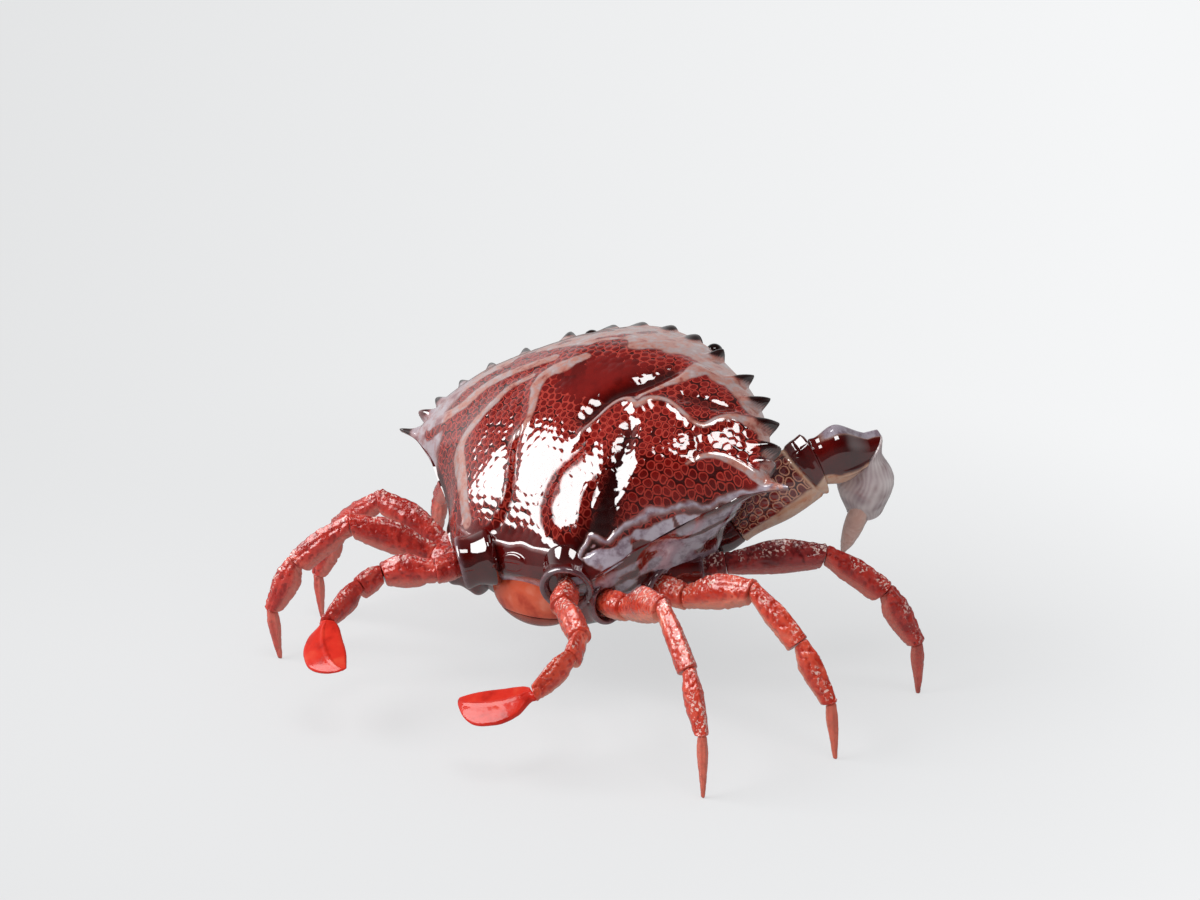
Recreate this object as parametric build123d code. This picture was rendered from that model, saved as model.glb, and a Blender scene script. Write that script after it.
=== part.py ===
from build123d import *
import math
import os

# Porcelain crab figurine, millimetres, +Z up, +Y towards the face, +X the crab's right side.
# Origin: middle of the footprint, on the table under the eight legs.

# Body shell, measured in the plane of its margin, which is tilted nose up
shell_half_width = 114.0
shell_length = 174.0
dome_height = 30.0
belly_depth = 54.0
wing_depth = 7.0
shell_wall = 4.0
margin_lip = 2.2
body_tilt = 37.0
body_roll = 3.5
roll_axis_height = 100.0
rear_margin_forward = -42.0
rear_margin_height = 70.0

# Teeth of the margin, from their root inside the shell
side_spine_length = 23.0
side_spine_radius = 6.5
tooth_length = 15.0
tooth_radius = 5.0
brow_length = 12.0
brow_radius = 5.0
tooth_tip_radius = 0.8
tooth_root = 8.0

# Folds of the back
fold_half_width = 4.2
fold_height = 2.6

# Depth of the socket mouths below the margin plane
swim_socket_depth = -0.8
third_socket_depth = 15.4
second_socket_depth = 29.3
first_socket_depth = 37.7
claw_socket_depth = 45.0

# Leg sockets: a collar round a tapered mouth, wide enough to show a dark gap
collar_radius = 10.6
collar_length = 14.0
mouth_radius = 9.0
mouth_depth = 4.5
mouth_reach = 14.0
swim_collar_radius = 13.2
swim_mouth_radius = 10.8
claw_collar_radius = 13.0
claw_mouth_radius = 11.2
claw_mouth_reach = 26.0
seat_gap = 0.3
seam_gap = 0.2

# Legs: length of hip, merus, carpus and propodus; the claw tip reaches the table
swim_lengths = (15.5, 29.0, 15.0, 28.5)
third_lengths = (15.5, 48.0, 37.5, 32.0)
second_lengths = (15.0, 45.0, 36.0, 33.5)
first_lengths = (12.0, 52.0, 37.5, 35.0)
paddle_length = 41.0
claw_lengths = (14.0, 55.0, 29.0, 38.0)
finger_length = 30.0
hip_diameter = 14.8
merus_height = 18.0
carpus_height = 14.5
propodus_height = 14.5
dactyl_height = 7.0
merus_thickness = 12.2
carpus_thickness = 9.9
propodus_thickness = 9.9
dactyl_thickness = 4.8
paddle_width = 22.0
paddle_thickness = 5.0

# Claws
claw_hip_diameter = 17.0
claw_merus_height = 33.0
claw_merus_thickness = 22.0
claw_carpus_height = 29.0
claw_carpus_thickness = 22.0
carpus_spine_length = 14.0
carpus_spine_radius = 4.0
palm_height = 36.0
palm_thickness = 31.0
finger_height = 13.0
finger_thickness = 11.0

# Underside, tail flap and face
vent_diameter = 8.0
vent_forward = 70.0
abdomen_place = (0.0, -22.0, 57.0)
abdomen_half_width = 27.0
abdomen_half_length = 16.0
abdomen_half_depth = 20.0
abdomen_seam_height = 46.0
eye_ahead = 1.5
eye_depth = 5.0
eye_diameter = 9.6
eye_stalk_diameter = 6.0
eye_stalk_length = 12.0
orbit_diameter = 13.0
maxilliped_across = 10.0
maxilliped_depth_below = 24.0
maxilliped_width = 17.0
maxilliped_depth = 16.0
maxilliped_length = 38.0
maxilliped_lean = 12.0

os.makedirs("parts", exist_ok=True)
parts = {}


def between(table_shares, position):
    """Value of a table of (position, value) shares at a position, straight between its rows."""
    for (a, low), (b, high) in zip(table_shares, table_shares[1:]):
        if position <= b:
            return low + (high - low) * (position - a) / (b - a)
    return table_shares[-1][1]


def heading(azimuth, elevation):
    """Unit vector from a compass angle about Z and an angle above the table."""
    flat = math.cos(math.radians(elevation))
    return Vector(
        flat * math.cos(math.radians(azimuth)),
        flat * math.sin(math.radians(azimuth)),
        math.sin(math.radians(elevation)),
    )


def mirrored(direction, side):
    """A direction for the right side, or its mirror for the left."""
    return Vector(side * direction.X, direction.Y, direction.Z)


# Body frame: x across, y along the back from the rear margin, z square to the margin
roll_centre = Pos(0, 0, roll_axis_height)
rolled = roll_centre * Rot(0, -body_roll, 0) * roll_centre.inverse()
level_frame = Pos(0, rear_margin_forward, rear_margin_height) * Rot(body_tilt, 0, 0)
body_frame = rolled * level_frame

# Margin seen square on: across as a share of the half width, along as a share of the length
rear_shares = [
    (0, 0.011), (0.2, 0.008), (0.35, 0.019), (0.46, 0.081), (0.58, 0.196),
    (0.77, 0.324), (0.92, 0.401), (1, 0.434),
]
front_shares = [
    (0, 1.0), (0.31, 0.952), (0.53, 0.867), (0.7, 0.79), (0.83, 0.703),
    (0.92, 0.62), (0.98, 0.529), (1, 0.467),
]
# Depth of the belly and half width of its core, along the back
keel_shares = [(0, 0.8), (0.25, 0.95), (0.45, 1), (0.7, 0.7), (0.88, 0.41), (1, 0.2)]
core_shares = [(0, 0.52), (0.2, 0.67), (0.32, 0.74), (0.5, 0.7), (0.72, 0.53), (0.9, 0.36), (1, 0.3)]
dome_power = 2.3
front_dome_power = 2.9
core_power = 8
wall_run_share = 0.05


def margin_ends(across):
    """Where the rear and the front margin lie at a share of the half width."""
    side = abs(across)
    rear = shell_length * between(rear_shares, side)
    front = shell_length * between(front_shares, side)
    return rear, front


def dome(across, along):
    """Height of the back: an arch along each section, lower towards the side spines."""
    power = dome_power if along < 0.5 else front_dome_power
    arch = 1 - abs(2 * along - 1) ** power
    return (dome_height * (1 - abs(across) ** dome_power) + margin_lip) * arch


def belly(across, along):
    """Depth of the underside: thin wings, and a deep core with steep flanks."""
    rear, front = margin_ends(across)
    place = (rear + (front - rear) * along) / shell_length
    rim = (front - rear) / shell_length
    run = min(1, along * rim / wall_run_share, (1 - along) * rim / wall_run_share) ** 0.5
    spread = abs(across) / between(core_shares, place)
    core = belly_depth * between(keel_shares, place) / (1 + spread ** core_power)
    wing = (wing_depth + (margin_lip - wing_depth) * abs(across)) * (1 - abs(2 * along - 1) ** 4)
    return -(wing + core * run)


section_shares = [-1, -0.93, -0.78, -0.6, -0.4, -0.15, 0.15, 0.4, 0.6, 0.78, 0.93, 1]
cavity_shares = [-0.8, -0.6, -0.3, 0, 0.3, 0.6, 0.8]
back_shares = [0.06, 0.18, 0.35, 0.5, 0.65, 0.82, 0.94]
under_shares = [0.975, 0.9, 0.75, 0.5, 0.25, 0.09, 0.02]


def body_solid(inset, table_shares, smooth=True):
    """Loft of closed sections from the left side to the right, drawn in by an inset."""
    wires = []
    reach = (shell_half_width - inset * 5) / shell_half_width
    for share in table_shares:
        across = share * reach
        x = across * shell_half_width
        rear, front = margin_ends(across)
        rear_point = Vector(x, rear + inset * 1.5, 0)
        front_point = Vector(x, front - inset * 1.5, 0)
        run = front_point.Y - rear_point.Y
        upper = [rear_point]
        for along in back_shares:
            height = max(dome(across, along) - inset, margin_lip * 0.1)
            upper.append(Vector(x, rear_point.Y + run * along, height))
        upper.append(front_point)
        lower = [front_point]
        for along in under_shares:
            depth = min(belly(across, along) + inset, -margin_lip * 0.1)
            lower.append(Vector(x, rear_point.Y + run * along, depth))
        lower.append(rear_point)
        if smooth:
            wires.append(Wire([Edge.make_spline(upper), Edge.make_spline(lower)]))
        else:
            wires.append(Wire.make_polygon(upper + lower[1:-1]))
    return Solid.make_loft(wires, ruled=not smooth)


def cone_between(start, end, start_radius, end_radius):
    """Round taper from one point to another."""
    run = end - start
    plane = Plane(origin=start, z_dir=run)
    return Solid.make_cone(start_radius, end_radius, run.length, plane)


def rod(start, end, radius):
    """Round rod from one point to another."""
    return Solid.make_cylinder(radius, (end - start).length, Plane(origin=start, z_dir=end - start))


def egg(centre, half_width, half_length, half_height):
    """Solid with an oval outline from every side."""
    return Pos(*centre) * scale(Sphere(half_width), (1, half_length / half_width, half_height / half_width))


# Teeth: place on the front margin, turn in its plane, rise out of it, length and radius
tooth_place_shares = [
    (1, 6, 0, side_spine_length, side_spine_radius),
    (0.985, 4, 38, tooth_length, tooth_radius),
    (0.95, 26, 8, tooth_length, tooth_radius),
    (0.88, 34, -4, tooth_length, tooth_radius),
    (0.775, 44, -14, tooth_length, tooth_radius),
    (0.64, 58, -16, tooth_length, tooth_radius),
    (0.25, 84, -8, brow_length, brow_radius),
    (0.09, 88, -4, brow_length, brow_radius),
]


def teeth():
    """Two mirrored rows of tapered teeth, rooted inside the margin."""
    made = []
    for across, turn, rise, length, radius in tooth_place_shares:
        for side in (-1, 1):
            way = mirrored(heading(turn, rise), side)
            margin = Vector(side * across * shell_half_width, margin_ends(across)[1], 0)
            root = margin - way * tooth_root
            tip = root + way * length
            made.append(cone_between(root, tip, radius, tooth_tip_radius))
    return made


# Raised folds of the back: places across and along, as shares of the half width and the length
fold_shares = [
    [(0.16, 0.36), (0.17, 0.46), (0.235, 0.565), (0.31, 0.58), (0.365, 0.6)],
    [(0.365, 0.6), (0.43, 0.603), (0.53, 0.58), (0.66, 0.54)],
    [(0.35, 0.6), (0.395, 0.68), (0.44, 0.79), (0.49, 0.84)],
    [(-0.19, 0.35), (-0.2, 0.5), (-0.14, 0.64), (-0.125, 0.79), (-0.15, 0.9)],
    [(-0.52, 0.35), (-0.48, 0.47), (-0.35, 0.585), (-0.29, 0.66), (-0.265, 0.77)],
    [(0.68, 0.55), (0.735, 0.6), (0.81, 0.65), (0.9, 0.63)],
    [(0.69, 0.435), (0.79, 0.48), (0.9, 0.49), (1, 0.475)],
    [(0.37, 0.14), (0.49, 0.225), (0.6, 0.315), (0.77, 0.36), (0.91, 0.415)],
    [(-0.37, 0.13), (-0.49, 0.235), (-0.64, 0.335), (-0.77, 0.385), (-0.91, 0.42)],
]
fold_end_share = 0.4


def on_back(across, along):
    """Point of the back at a share of the half width and a share of the length."""
    rear, front = margin_ends(across)
    forward = shell_length * along
    return Vector(across * shell_half_width, forward, dome(across, (forward - rear) / (front - rear)))


def fold(places):
    """Rounded fold along a line of the back: ovals square to the line, smaller at both ends."""
    points = [on_back(*place) for place in places]
    wires = []
    for index, point in enumerate(points):
        before, after = points[max(index - 1, 0)], points[min(index + 1, len(points) - 1)]
        size = fold_end_share if index in (0, len(points) - 1) else 1
        plane = Plane(origin=point, x_dir=Vector(0, 0, 1), z_dir=after - before)
        wires.append(Wire.make_ellipse(fold_height * size, fold_half_width * size, plane))
    return Solid.make_loft(wires)


# Leg sockets: share of the half width and of the length, depth, compass angle and rise of the axis,
# collar, mouth and reach of the mouth's taper
sockets = {
    "swim_leg": (0.3035, -0.0036, swim_socket_depth, -65, -7,
                 swim_collar_radius, swim_mouth_radius, mouth_reach),
    "third_leg": (0.444, 0.041, third_socket_depth, -12, 8, collar_radius, mouth_radius, mouth_reach),
    "second_leg": (0.57, 0.1755, second_socket_depth, 0, -14, collar_radius, mouth_radius, mouth_reach),
    "first_leg": (0.6755, 0.297, first_socket_depth, 36, 7, collar_radius, mouth_radius, mouth_reach),
    "claw": (0.614, 0.424, claw_socket_depth, 40, 28, claw_collar_radius, claw_mouth_radius, claw_mouth_reach),
}
mouth_floor_share = 0.88
mouth_flare_share = 0.2


def socket_frame(name, side):
    """Middle of a socket's mouth over the table, and the way its axis points."""
    across, along, depth, azimuth, elevation = sockets[name][:5]
    place = level_frame * Pos(side * across * shell_half_width, along * shell_length, -depth)
    return place.position, mirrored(heading(azimuth, elevation), side)


# Sections of each limb piece: share along it, height share, thickness share, lift share
hip_shares = [(0, 0.82, 0.82, 0), (0.6, 1, 1, 0), (1, 0.9, 0.9, 0)]
merus_shares = [(0, 0.66, 0.8, 0), (0.55, 1, 1, 0.03), (1, 0.68, 0.92, 0)]
claw_merus_shares = [(0, 0.5, 0.68, 0), (0.5, 0.9, 0.98, 0.01), (1, 1, 1, 0)]
carpus_shares = [(0, 0.66, 0.8, 0.03), (0.5, 0.96, 0.95, 0.03), (1, 0.94, 1, 0)]
claw_carpus_shares = [(0, 0.84, 0.86, 0), (0.45, 1, 1, 0.02), (1, 0.62, 0.68, 0)]
propodus_shares = [(0, 0.6, 0.72, 0.06), (0.35, 0.97, 1, 0.02), (1, 0.58, 0.72, 0)]
tip_shares = [(0, 0.86, 0.86, 0.014), (0.25, 1, 1, 0.012), (0.65, 0.68, 0.72, 0.012), (1, 0.34, 0.36, 0)]
paddle_shares = [
    (0, 0.36, 1.1, 0), (0.16, 0.72, 1.1, -0.06), (0.45, 1, 1, -0.14), (0.75, 0.86, 0.9, -0.13),
    (0.93, 0.42, 0.6, -0.04), (1, 0.12, 0.24, 0.03),
]
palm_shares = [(0, 0.5, 0.56, 0), (0.45, 1, 1, 0), (1, 0.58, 0.6, 0)]
finger_shares = [(0, 1, 1, 0), (0.35, 0.98, 1, 0.03), (0.7, 0.7, 0.76, 0.02), (1, 0.24, 0.24, -0.03)]


def limb_body(start, end, height, thickness, table_shares, up, spare=0, smooth=True):
    """Loft of oval sections between two joints, bowed towards its upper side, with spare ends to cut."""
    run = end - start
    way = run.normalized()
    up = (up - way * up.dot(way)).normalized()
    wires = []
    for along, tall, thick, lift in table_shares:
        centre = start + run * along + up * (run.length * lift)
        if along in (0, 1):
            centre = centre + way * (spare if along == 1 else -spare)
        plane = Plane(origin=centre, x_dir=up, z_dir=way)
        wires.append(Wire.make_ellipse(height * tall / 2, thickness * thick / 2, plane))
    return Solid.make_loft(wires, ruled=not smooth)


def upper_side(azimuth, elevation, side):
    """Direction square to a limb piece, on its upper or outer side."""
    rise = math.radians(elevation)
    turn = math.radians(azimuth)
    level = -math.sin(rise)
    return Vector(side * level * math.cos(turn), level * math.sin(turn), math.cos(rise))


def ahead_of(solid, point, way):
    """What lies beyond a flat cut, on the side that it faces."""
    return solid.split(Plane(origin=point, z_dir=way), keep=Keep.TOP)


# Pose: compass angle and rise of each piece, right side then left side
poses = {
    "third_leg": (third_lengths, [(-21, 9), (-32, 20), (-32, -35), (-32, -58), (-32, -86)],
                  [(3, 4), (-32, 20), (-32, -37), (-32, -61), (-32, -96)]),
    "second_leg": (second_lengths, [(3, -8), (-5, 18), (-5, -36), (-5, -52), (-5, -82)],
                   [(-4, -23), (-9, 25), (-9, -37), (-9, -63), (-9, -93)]),
    "first_leg": (first_lengths, [(38, 15), (35, 5), (35, -33), (35, -57), (35, -86)],
                  [(34, 8), (41, -5), (41, -29), (41, -57), (41, -100)]),
    "swim_leg": (swim_lengths, [(-60, -9), (-36, -12), (-73, -25), (-99, -22), (-161, -13)],
                 [(-70, -4), (-27, -6), (-71, -20), (-89, -22), (-142, -16)]),
    "claw": (claw_lengths, [(40, 30), (36, 42), (55, 7), (115, -76), (165, -60)],
             [(40, 20), (63, -9), (114, -11), (138, -36), (167, -42)]),
}
paddle_edge = heading(135, 23)


def joint_points(name, side):
    """Seat, joints and end of one limb, from its lengths and angles."""
    lengths, right, left = poses[name]
    angles = right if side > 0 else left
    centre, axis = socket_frame(name, side)
    points = [centre - axis * (mouth_depth - seat_gap)]
    here = centre
    for length, (azimuth, elevation) in zip(lengths, angles):
        here = here + mirrored(heading(azimuth, elevation), side) * length
        points.append(here)
    last = mirrored(heading(*angles[-1]), side)
    if name == "swim_leg":
        points.append(here + last * paddle_length)
    elif name == "claw":
        points.append(here + last * finger_length)
    else:
        points.append(here - last * (here.Z / last.Z))
    return points, angles


def limb_pieces(name):
    """Name, height, thickness and section table of each piece of a limb, from its root."""
    if name == "claw":
        return [
            ("hip", claw_hip_diameter, claw_hip_diameter, hip_shares),
            ("merus", claw_merus_height, claw_merus_thickness, claw_merus_shares),
            ("carpus", claw_carpus_height, claw_carpus_thickness, claw_carpus_shares),
            ("palm", palm_height, palm_thickness, palm_shares),
        ]
    pieces = [
        ("hip", hip_diameter, hip_diameter, hip_shares),
        ("merus", merus_height, merus_thickness, merus_shares),
        ("carpus", carpus_height, carpus_thickness, carpus_shares),
        ("propodus", propodus_height, propodus_thickness, propodus_shares),
    ]
    if name == "swim_leg":
        return pieces + [("paddle", paddle_width, paddle_thickness, paddle_shares)]
    return pieces + [("tip", dactyl_height, dactyl_thickness, tip_shares)]


def limb(name, side):
    """The pieces of one limb, end to end, each cut on the plane that halves the bend at a joint."""
    points, angles = joint_points(name, side)
    ways = [(end - start).normalized() for start, end in zip(points, points[1:])]
    seams = [socket_frame(name, side)[1]]
    for before, after in zip(ways, ways[1:]):
        seams.append((before + after).normalized())
    label = ("right_" if side > 0 else "left_") + name
    for index, (piece, height, thickness, table_shares) in enumerate(limb_pieces(name)):
        up = upper_side(*angles[index], side)
        if piece == "paddle":
            up = mirrored(paddle_edge, side)
        start, end = points[index], points[index + 1]
        spare = 0 if piece == "paddle" else height * 0.45
        solid = limb_body(start, end, height, thickness, table_shares, up, spare, smooth=piece != "tip")
        gap = seam_gap / 2 if index else 0
        solid = ahead_of(solid, start + seams[index] * gap, seams[index])
        if piece == "tip":
            solid = ahead_of(solid, Vector(0, 0, 0), Vector(0, 0, 1))
        elif piece == "palm":
            solid = hand(label, ahead_of(solid, end, -ways[index]), points, up)
        elif piece != "paddle":
            solid = ahead_of(solid, end - seams[index + 1] * gap, -seams[index + 1])
        if name == "claw" and piece == "carpus":
            root = end + up * (height * 0.3) - ways[index] * (carpus_spine_length * 0.75)
            tip = root + (ways[index] + up * 0.55) * carpus_spine_length
            solid = solid + cone_between(root, tip, carpus_spine_radius, tooth_tip_radius)
        parts[label + "_" + piece] = solid


def hand(label, palm, points, up):
    """Palm with its fixed finger, and the other finger seated beside it on the palm's end."""
    end, tip = points[4], points[5]
    way = (end - points[3]).normalized()
    low = palm_height * 0.24
    high = palm_height * 0.2
    root = end - up * low - way * finger_height
    fixed = limb_body(root, tip - up * (low * 0.5), finger_height, finger_thickness, finger_shares, -up)
    finger = limb_body(end + up * high - way * finger_height, tip + up * (high * 0.6),
                       finger_height, finger_thickness, finger_shares, up)
    parts[label + "_finger"] = ahead_of(finger, end + way * seam_gap, way)
    return palm + fixed


outer = body_frame * body_solid(0, section_shares)
clear_outer = body_frame * body_solid(-seat_gap, section_shares)
cavity = body_frame * body_solid(shell_wall, cavity_shares, smooth=False)

shell = outer
for tooth in teeth():
    shell = shell + body_frame * tooth
for places in fold_shares:
    shell = shell + body_frame * fold(places)
mouths = []
for name in sockets:
    rim, mouth, reach = sockets[name][5:]
    for side in (-1, 1):
        centre, axis = socket_frame(name, side)
        collar = cone_between(centre - axis * collar_length, centre, rim * 1.1, rim)
        shell = shell + collar
        cavity = cavity - collar
        floor = centre - axis * mouth_depth
        low, high = mouth * mouth_floor_share, mouth + reach * mouth_flare_share
        mouths.append(cone_between(floor, centre + axis * reach, low, high))
shell = shell - cavity
for mouth in mouths:
    shell = shell - mouth
vent = Cylinder(vent_diameter / 2, belly_depth, align=(Align.CENTER, Align.CENTER, Align.MAX))
shell = shell - body_frame * Pos(0, vent_forward, -belly_depth / 2) * vent


# Tail flap: two plates of one egg, fitted to the underside of the shell
abdomen = egg(abdomen_place, abdomen_half_width, abdomen_half_length, abdomen_half_depth) - clear_outer
seam = Vector(0, 0, abdomen_seam_height)
parts["abdomen_upper"] = ahead_of(abdomen, seam, Vector(0, 0, 1))
parts["abdomen_lower"] = ahead_of(abdomen, seam - Vector(0, 0, seam_gap), Vector(0, 0, -1))

# Eyes on stalks in drilled orbits, and mouth plates on the face
eye_share = 0.36
mouth_share = 0.822
for side, label in ((-1, "left_"), (1, "right_")):
    across = side * eye_share
    centre = Vector(across * shell_half_width, margin_ends(across)[1] + eye_ahead, -eye_depth)
    back = Vector(0, -1, 0)
    ball = egg(centre, eye_diameter / 2, eye_diameter / 2, eye_diameter / 2)
    stalk = rod(centre, centre + back * eye_stalk_length, eye_stalk_diameter / 2)
    parts[label + "eye"] = body_frame * (ball + stalk)
    hole = rod(centre, centre + back * (eye_stalk_length + seam_gap), eye_stalk_diameter / 2 + seam_gap)
    orbit = egg(centre, orbit_diameter / 2, orbit_diameter / 2, orbit_diameter / 2)
    shell = shell - body_frame * (orbit + hole)
    plate = egg((0, 0, 0), maxilliped_width / 2, maxilliped_depth / 2, maxilliped_length / 2)
    seat = Pos(side * maxilliped_across, mouth_share * shell_length, -maxilliped_depth_below)
    plate = body_frame * seat * Rot(0, side * maxilliped_lean, 0) * plate
    parts[label + "maxilliped"] = plate - clear_outer

for name in sockets:
    for side in (-1, 1):
        limb(name, side)
parts["shell"] = shell

# The origin is the middle of the footprint, on the table
boxes = [solid.bounding_box() for solid in parts.values()]
middle_across = (min(box.min.X for box in boxes) + max(box.max.X for box in boxes)) / 2
middle_forward = (min(box.min.Y for box in boxes) + max(box.max.Y for box in boxes)) / 2
print("origin moved by", middle_across, middle_forward)

for name, solid in parts.items():
    solid = Pos(-middle_across, -middle_forward, 0) * solid
    print(name, len(solid.solids()), round(solid.volume), round(solid.area))
    export_step(solid, "parts/" + name + ".step")
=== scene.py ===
import math

import bpy
import numpy as np
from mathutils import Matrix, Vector


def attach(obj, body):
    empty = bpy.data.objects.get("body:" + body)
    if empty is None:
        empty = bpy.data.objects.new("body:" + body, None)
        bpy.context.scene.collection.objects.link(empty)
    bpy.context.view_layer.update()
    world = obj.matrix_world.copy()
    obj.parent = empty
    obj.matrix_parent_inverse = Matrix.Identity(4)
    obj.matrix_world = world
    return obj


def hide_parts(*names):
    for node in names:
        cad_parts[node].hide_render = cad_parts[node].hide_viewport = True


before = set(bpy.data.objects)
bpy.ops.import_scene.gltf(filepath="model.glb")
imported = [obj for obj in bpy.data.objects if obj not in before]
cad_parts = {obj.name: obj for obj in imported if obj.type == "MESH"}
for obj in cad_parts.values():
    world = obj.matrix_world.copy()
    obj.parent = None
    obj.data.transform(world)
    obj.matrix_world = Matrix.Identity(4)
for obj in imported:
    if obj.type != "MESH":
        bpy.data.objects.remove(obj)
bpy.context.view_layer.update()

# Sizes in millimetres. The crab's frame: +X its right, +Y towards its face, +Z up from the table. The
# shared frame's origin lies a little beside the construction's, under the middle of the whole crab.
MM = 0.001
frame_origin = [3.811, 10.485, 0]

# Body, as in the construction: margin plane tilted nose up and rolled a little to one side
half_width = 114.0
spine_reach = 128.5
body_length = 174.0
dome_height = 30.0
belly_depth = 54.0
wing_depth = 7.0
lip = 2.2
body_tilt = 37.0
body_roll = 3.5
roll_axis_height = 100.0
rear_forward = -42.0
rear_height = 70.0

# Pebbles under the glaze, and how far the glaze of the back lies below the construction's surface
cell_size = 4.6
claw_cell_size = 5.6
cell_relief = 0.15
glaze_sink = 0.25

# Seams between castings, and the rounding of their rims
seam_gap = 0.2
seat_gap = 0.3
round_over = 1.1

# Skin of the limbs, pressed from a pebbled mould: size and height of its lumps, grain and pits
lump_size, lump_height = 3.0, 0.26
grain_size, grain_height = 1.4, 0.2
pit_size, pit_depth = 1.9, 0.36

# Hooked spine of the claw's carpus
spine_length = 14.0
spine_radius = 4.0
spine_hook = 3.2

# Sockets
collar_radius = 10.6
mouth_radius = 9.0
mouth_depth = 4.5
swim_collar_radius = 13.2
swim_mouth_radius = 10.8
claw_collar_radius = 13.0
claw_mouth_radius = 11.2


# Small vector helpers
def unit(v):
    """Each vector divided by its length."""
    return v / np.linalg.norm(v, axis=-1, keepdims=True)


def heading(azimuth, elevation, side=1):
    """Unit vector from a compass angle and a rise, mirrored for the left side."""
    a, e = math.radians(azimuth), math.radians(elevation)
    return np.array([side * math.cos(e) * math.cos(a), math.cos(e) * math.sin(a), math.sin(e)])


def smooth_step(low, high, value):
    """0 below low, 1 above high, and a cubic between."""
    t = np.clip((value - low) / (high - low), 0, 1)
    return t * t * (3 - 2 * t)


def bell(value, width):
    """1 at zero, falling as a Gaussian of the given width."""
    return np.exp(-((value / width) ** 2))


def smooth_table(rows, x):
    """Smooth curve through a table of (x, y): cubic Hermite pieces with limited slopes."""
    rows = np.asarray(rows, float)
    a, b = rows[:, 0], rows[:, 1]
    rise = np.diff(b) / np.diff(a)
    slope = np.concatenate([[0.0 if a[0] == 0 else rise[0]], (rise[1:] + rise[:-1]) / 2, [rise[-1]]])
    flat = np.concatenate([[False], rise[1:] * rise[:-1] <= 0, [False]])
    slope[flat] = 0
    x = np.clip(x, a[0], a[-1])
    k = np.clip(np.searchsorted(a, x, side="right") - 1, 0, len(a) - 2)
    h = a[k + 1] - a[k]
    t = (x - a[k]) / h
    low = b[k] * (1 + 2 * t) * (1 - t) ** 2 + slope[k] * h * t * (1 - t) ** 2
    return low + b[k + 1] * t * t * (3 - 2 * t) + slope[k + 1] * h * t * t * (t - 1)


def lumps(points, size, seed=0):
    """Smooth random relief from -1 to 1: random values on a cubic lattice of that size, blended between. The
    values come from mixing the bits of each lattice place with large odd numbers."""
    p = np.asarray(points) / size + seed * 7.31
    i = np.floor(p).astype(np.int64)
    f = p - i
    f = f * f * (3 - 2 * f)
    total = 0.0
    for corner in range(8):
        d = np.array([corner & 1, corner >> 1 & 1, corner >> 2 & 1])
        j = i + d
        n = (j[..., 0] * 73856093) ^ (j[..., 1] * 19349663) ^ (j[..., 2] * 83492791) ^ (seed * 2654435761)
        n = (n ^ (n >> 13)) * 1274126177
        value = ((n ^ (n >> 16)) & 0xFFFF) / 32767.5 - 1
        weight = np.prod(np.where(d == 1, f, 1 - f), axis=-1)
        total = total + value * weight
    return total


def cells(x, y, size, seed=0):
    """Cell pattern: each place belongs to the nearest of the points of a staggered square lattice, each
    jittered by mixed bits as in lumps. Gives how far inside its cell a place lies and how far from its
    middle, as shares of the size, and one random number per cell."""
    gx, gy = np.floor(x / size).astype(np.int64), np.floor(y / size).astype(np.int64)
    near = np.full(np.shape(x), 9.0)
    second = np.full(np.shape(x), 9.0)
    number = np.zeros(np.shape(x))
    for dx in (-1, 0, 1):
        for dy in (-1, 0, 1):
            cx, cy = gx + dx, gy + dy
            n = (cx * 374761393 + cy * 668265263 + seed * 97) & 0xFFFFFFFF
            n = ((n ^ (n >> 13)) * 1274126177) & 0xFFFFFFFF
            jx, jy = ((n >> 4) & 1023) / 1023, ((n >> 16) & 1023) / 1023
            px = cx + 0.5 + (jx - 0.5) * 0.5 + 0.5 * (cy & 1)
            py = cy + 0.5 + (jy - 0.5) * 0.5
            far = np.hypot(x / size - px, y / size - py)
            closer = far < near
            second = np.where(closer, near, np.minimum(second, far))
            number = np.where(closer, jx, number)
            near = np.where(closer, far, near)
    return (second - near) / 2, near, number


def pebble_gap(inside, near):
    """How far inside the outline of its pebble a point lies, as a share of the cell size. The pebble is the
    cell with its corners rounded off: the smooth minimum of the way to the cell's edge and to a circle."""
    soft, circle = 0.03, 0.6
    return -soft * np.log(np.exp(-inside / soft) + np.exp(-(circle - near) / soft))


def near_line(x, y, points):
    """Distance from every place to a bent line, the third column of the line there, the share along it and
    the side on which the place lies (1 left of the line's way, -1 right)."""
    points = np.asarray(points, float)
    lengths = np.hypot(*np.diff(points[:, :2], axis=0).T)
    best, third, share, side = np.full(np.shape(x), 1e9), 0 * x, 0 * x, 0 * x
    done = 0.0
    for (ax, ay, aw), (bx, by, bw), length in zip(points, points[1:], lengths):
        t = np.clip(((x - ax) * (bx - ax) + (y - ay) * (by - ay)) / length ** 2, 0, 1)
        far = np.hypot(x - ax - t * (bx - ax), y - ay - t * (by - ay))
        closer = far < best
        third = np.where(closer, aw + (bw - aw) * t, third)
        share = np.where(closer, (done + t * length) / lengths.sum(), share)
        side = np.where(closer, np.sign((bx - ax) * (y - ay) - (by - ay) * (x - ax)), side)
        best = np.minimum(best, far)
        done += length
    return best, third, share, side


def rounded(points, passes=2):
    """Bent line with its corners cut, twice by default."""
    p = np.asarray(points, float)
    for _ in range(passes):
        q = np.empty((2 * len(p), p.shape[1]))
        q[0], q[-1] = p[0], p[-1]
        q[1:-1:2] = p[:-1] * 0.75 + p[1:] * 0.25
        q[2:-1:2] = p[:-1] * 0.25 + p[1:] * 0.75
        p = q
    return p


# Meshes
sharp_angle = 55


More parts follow.
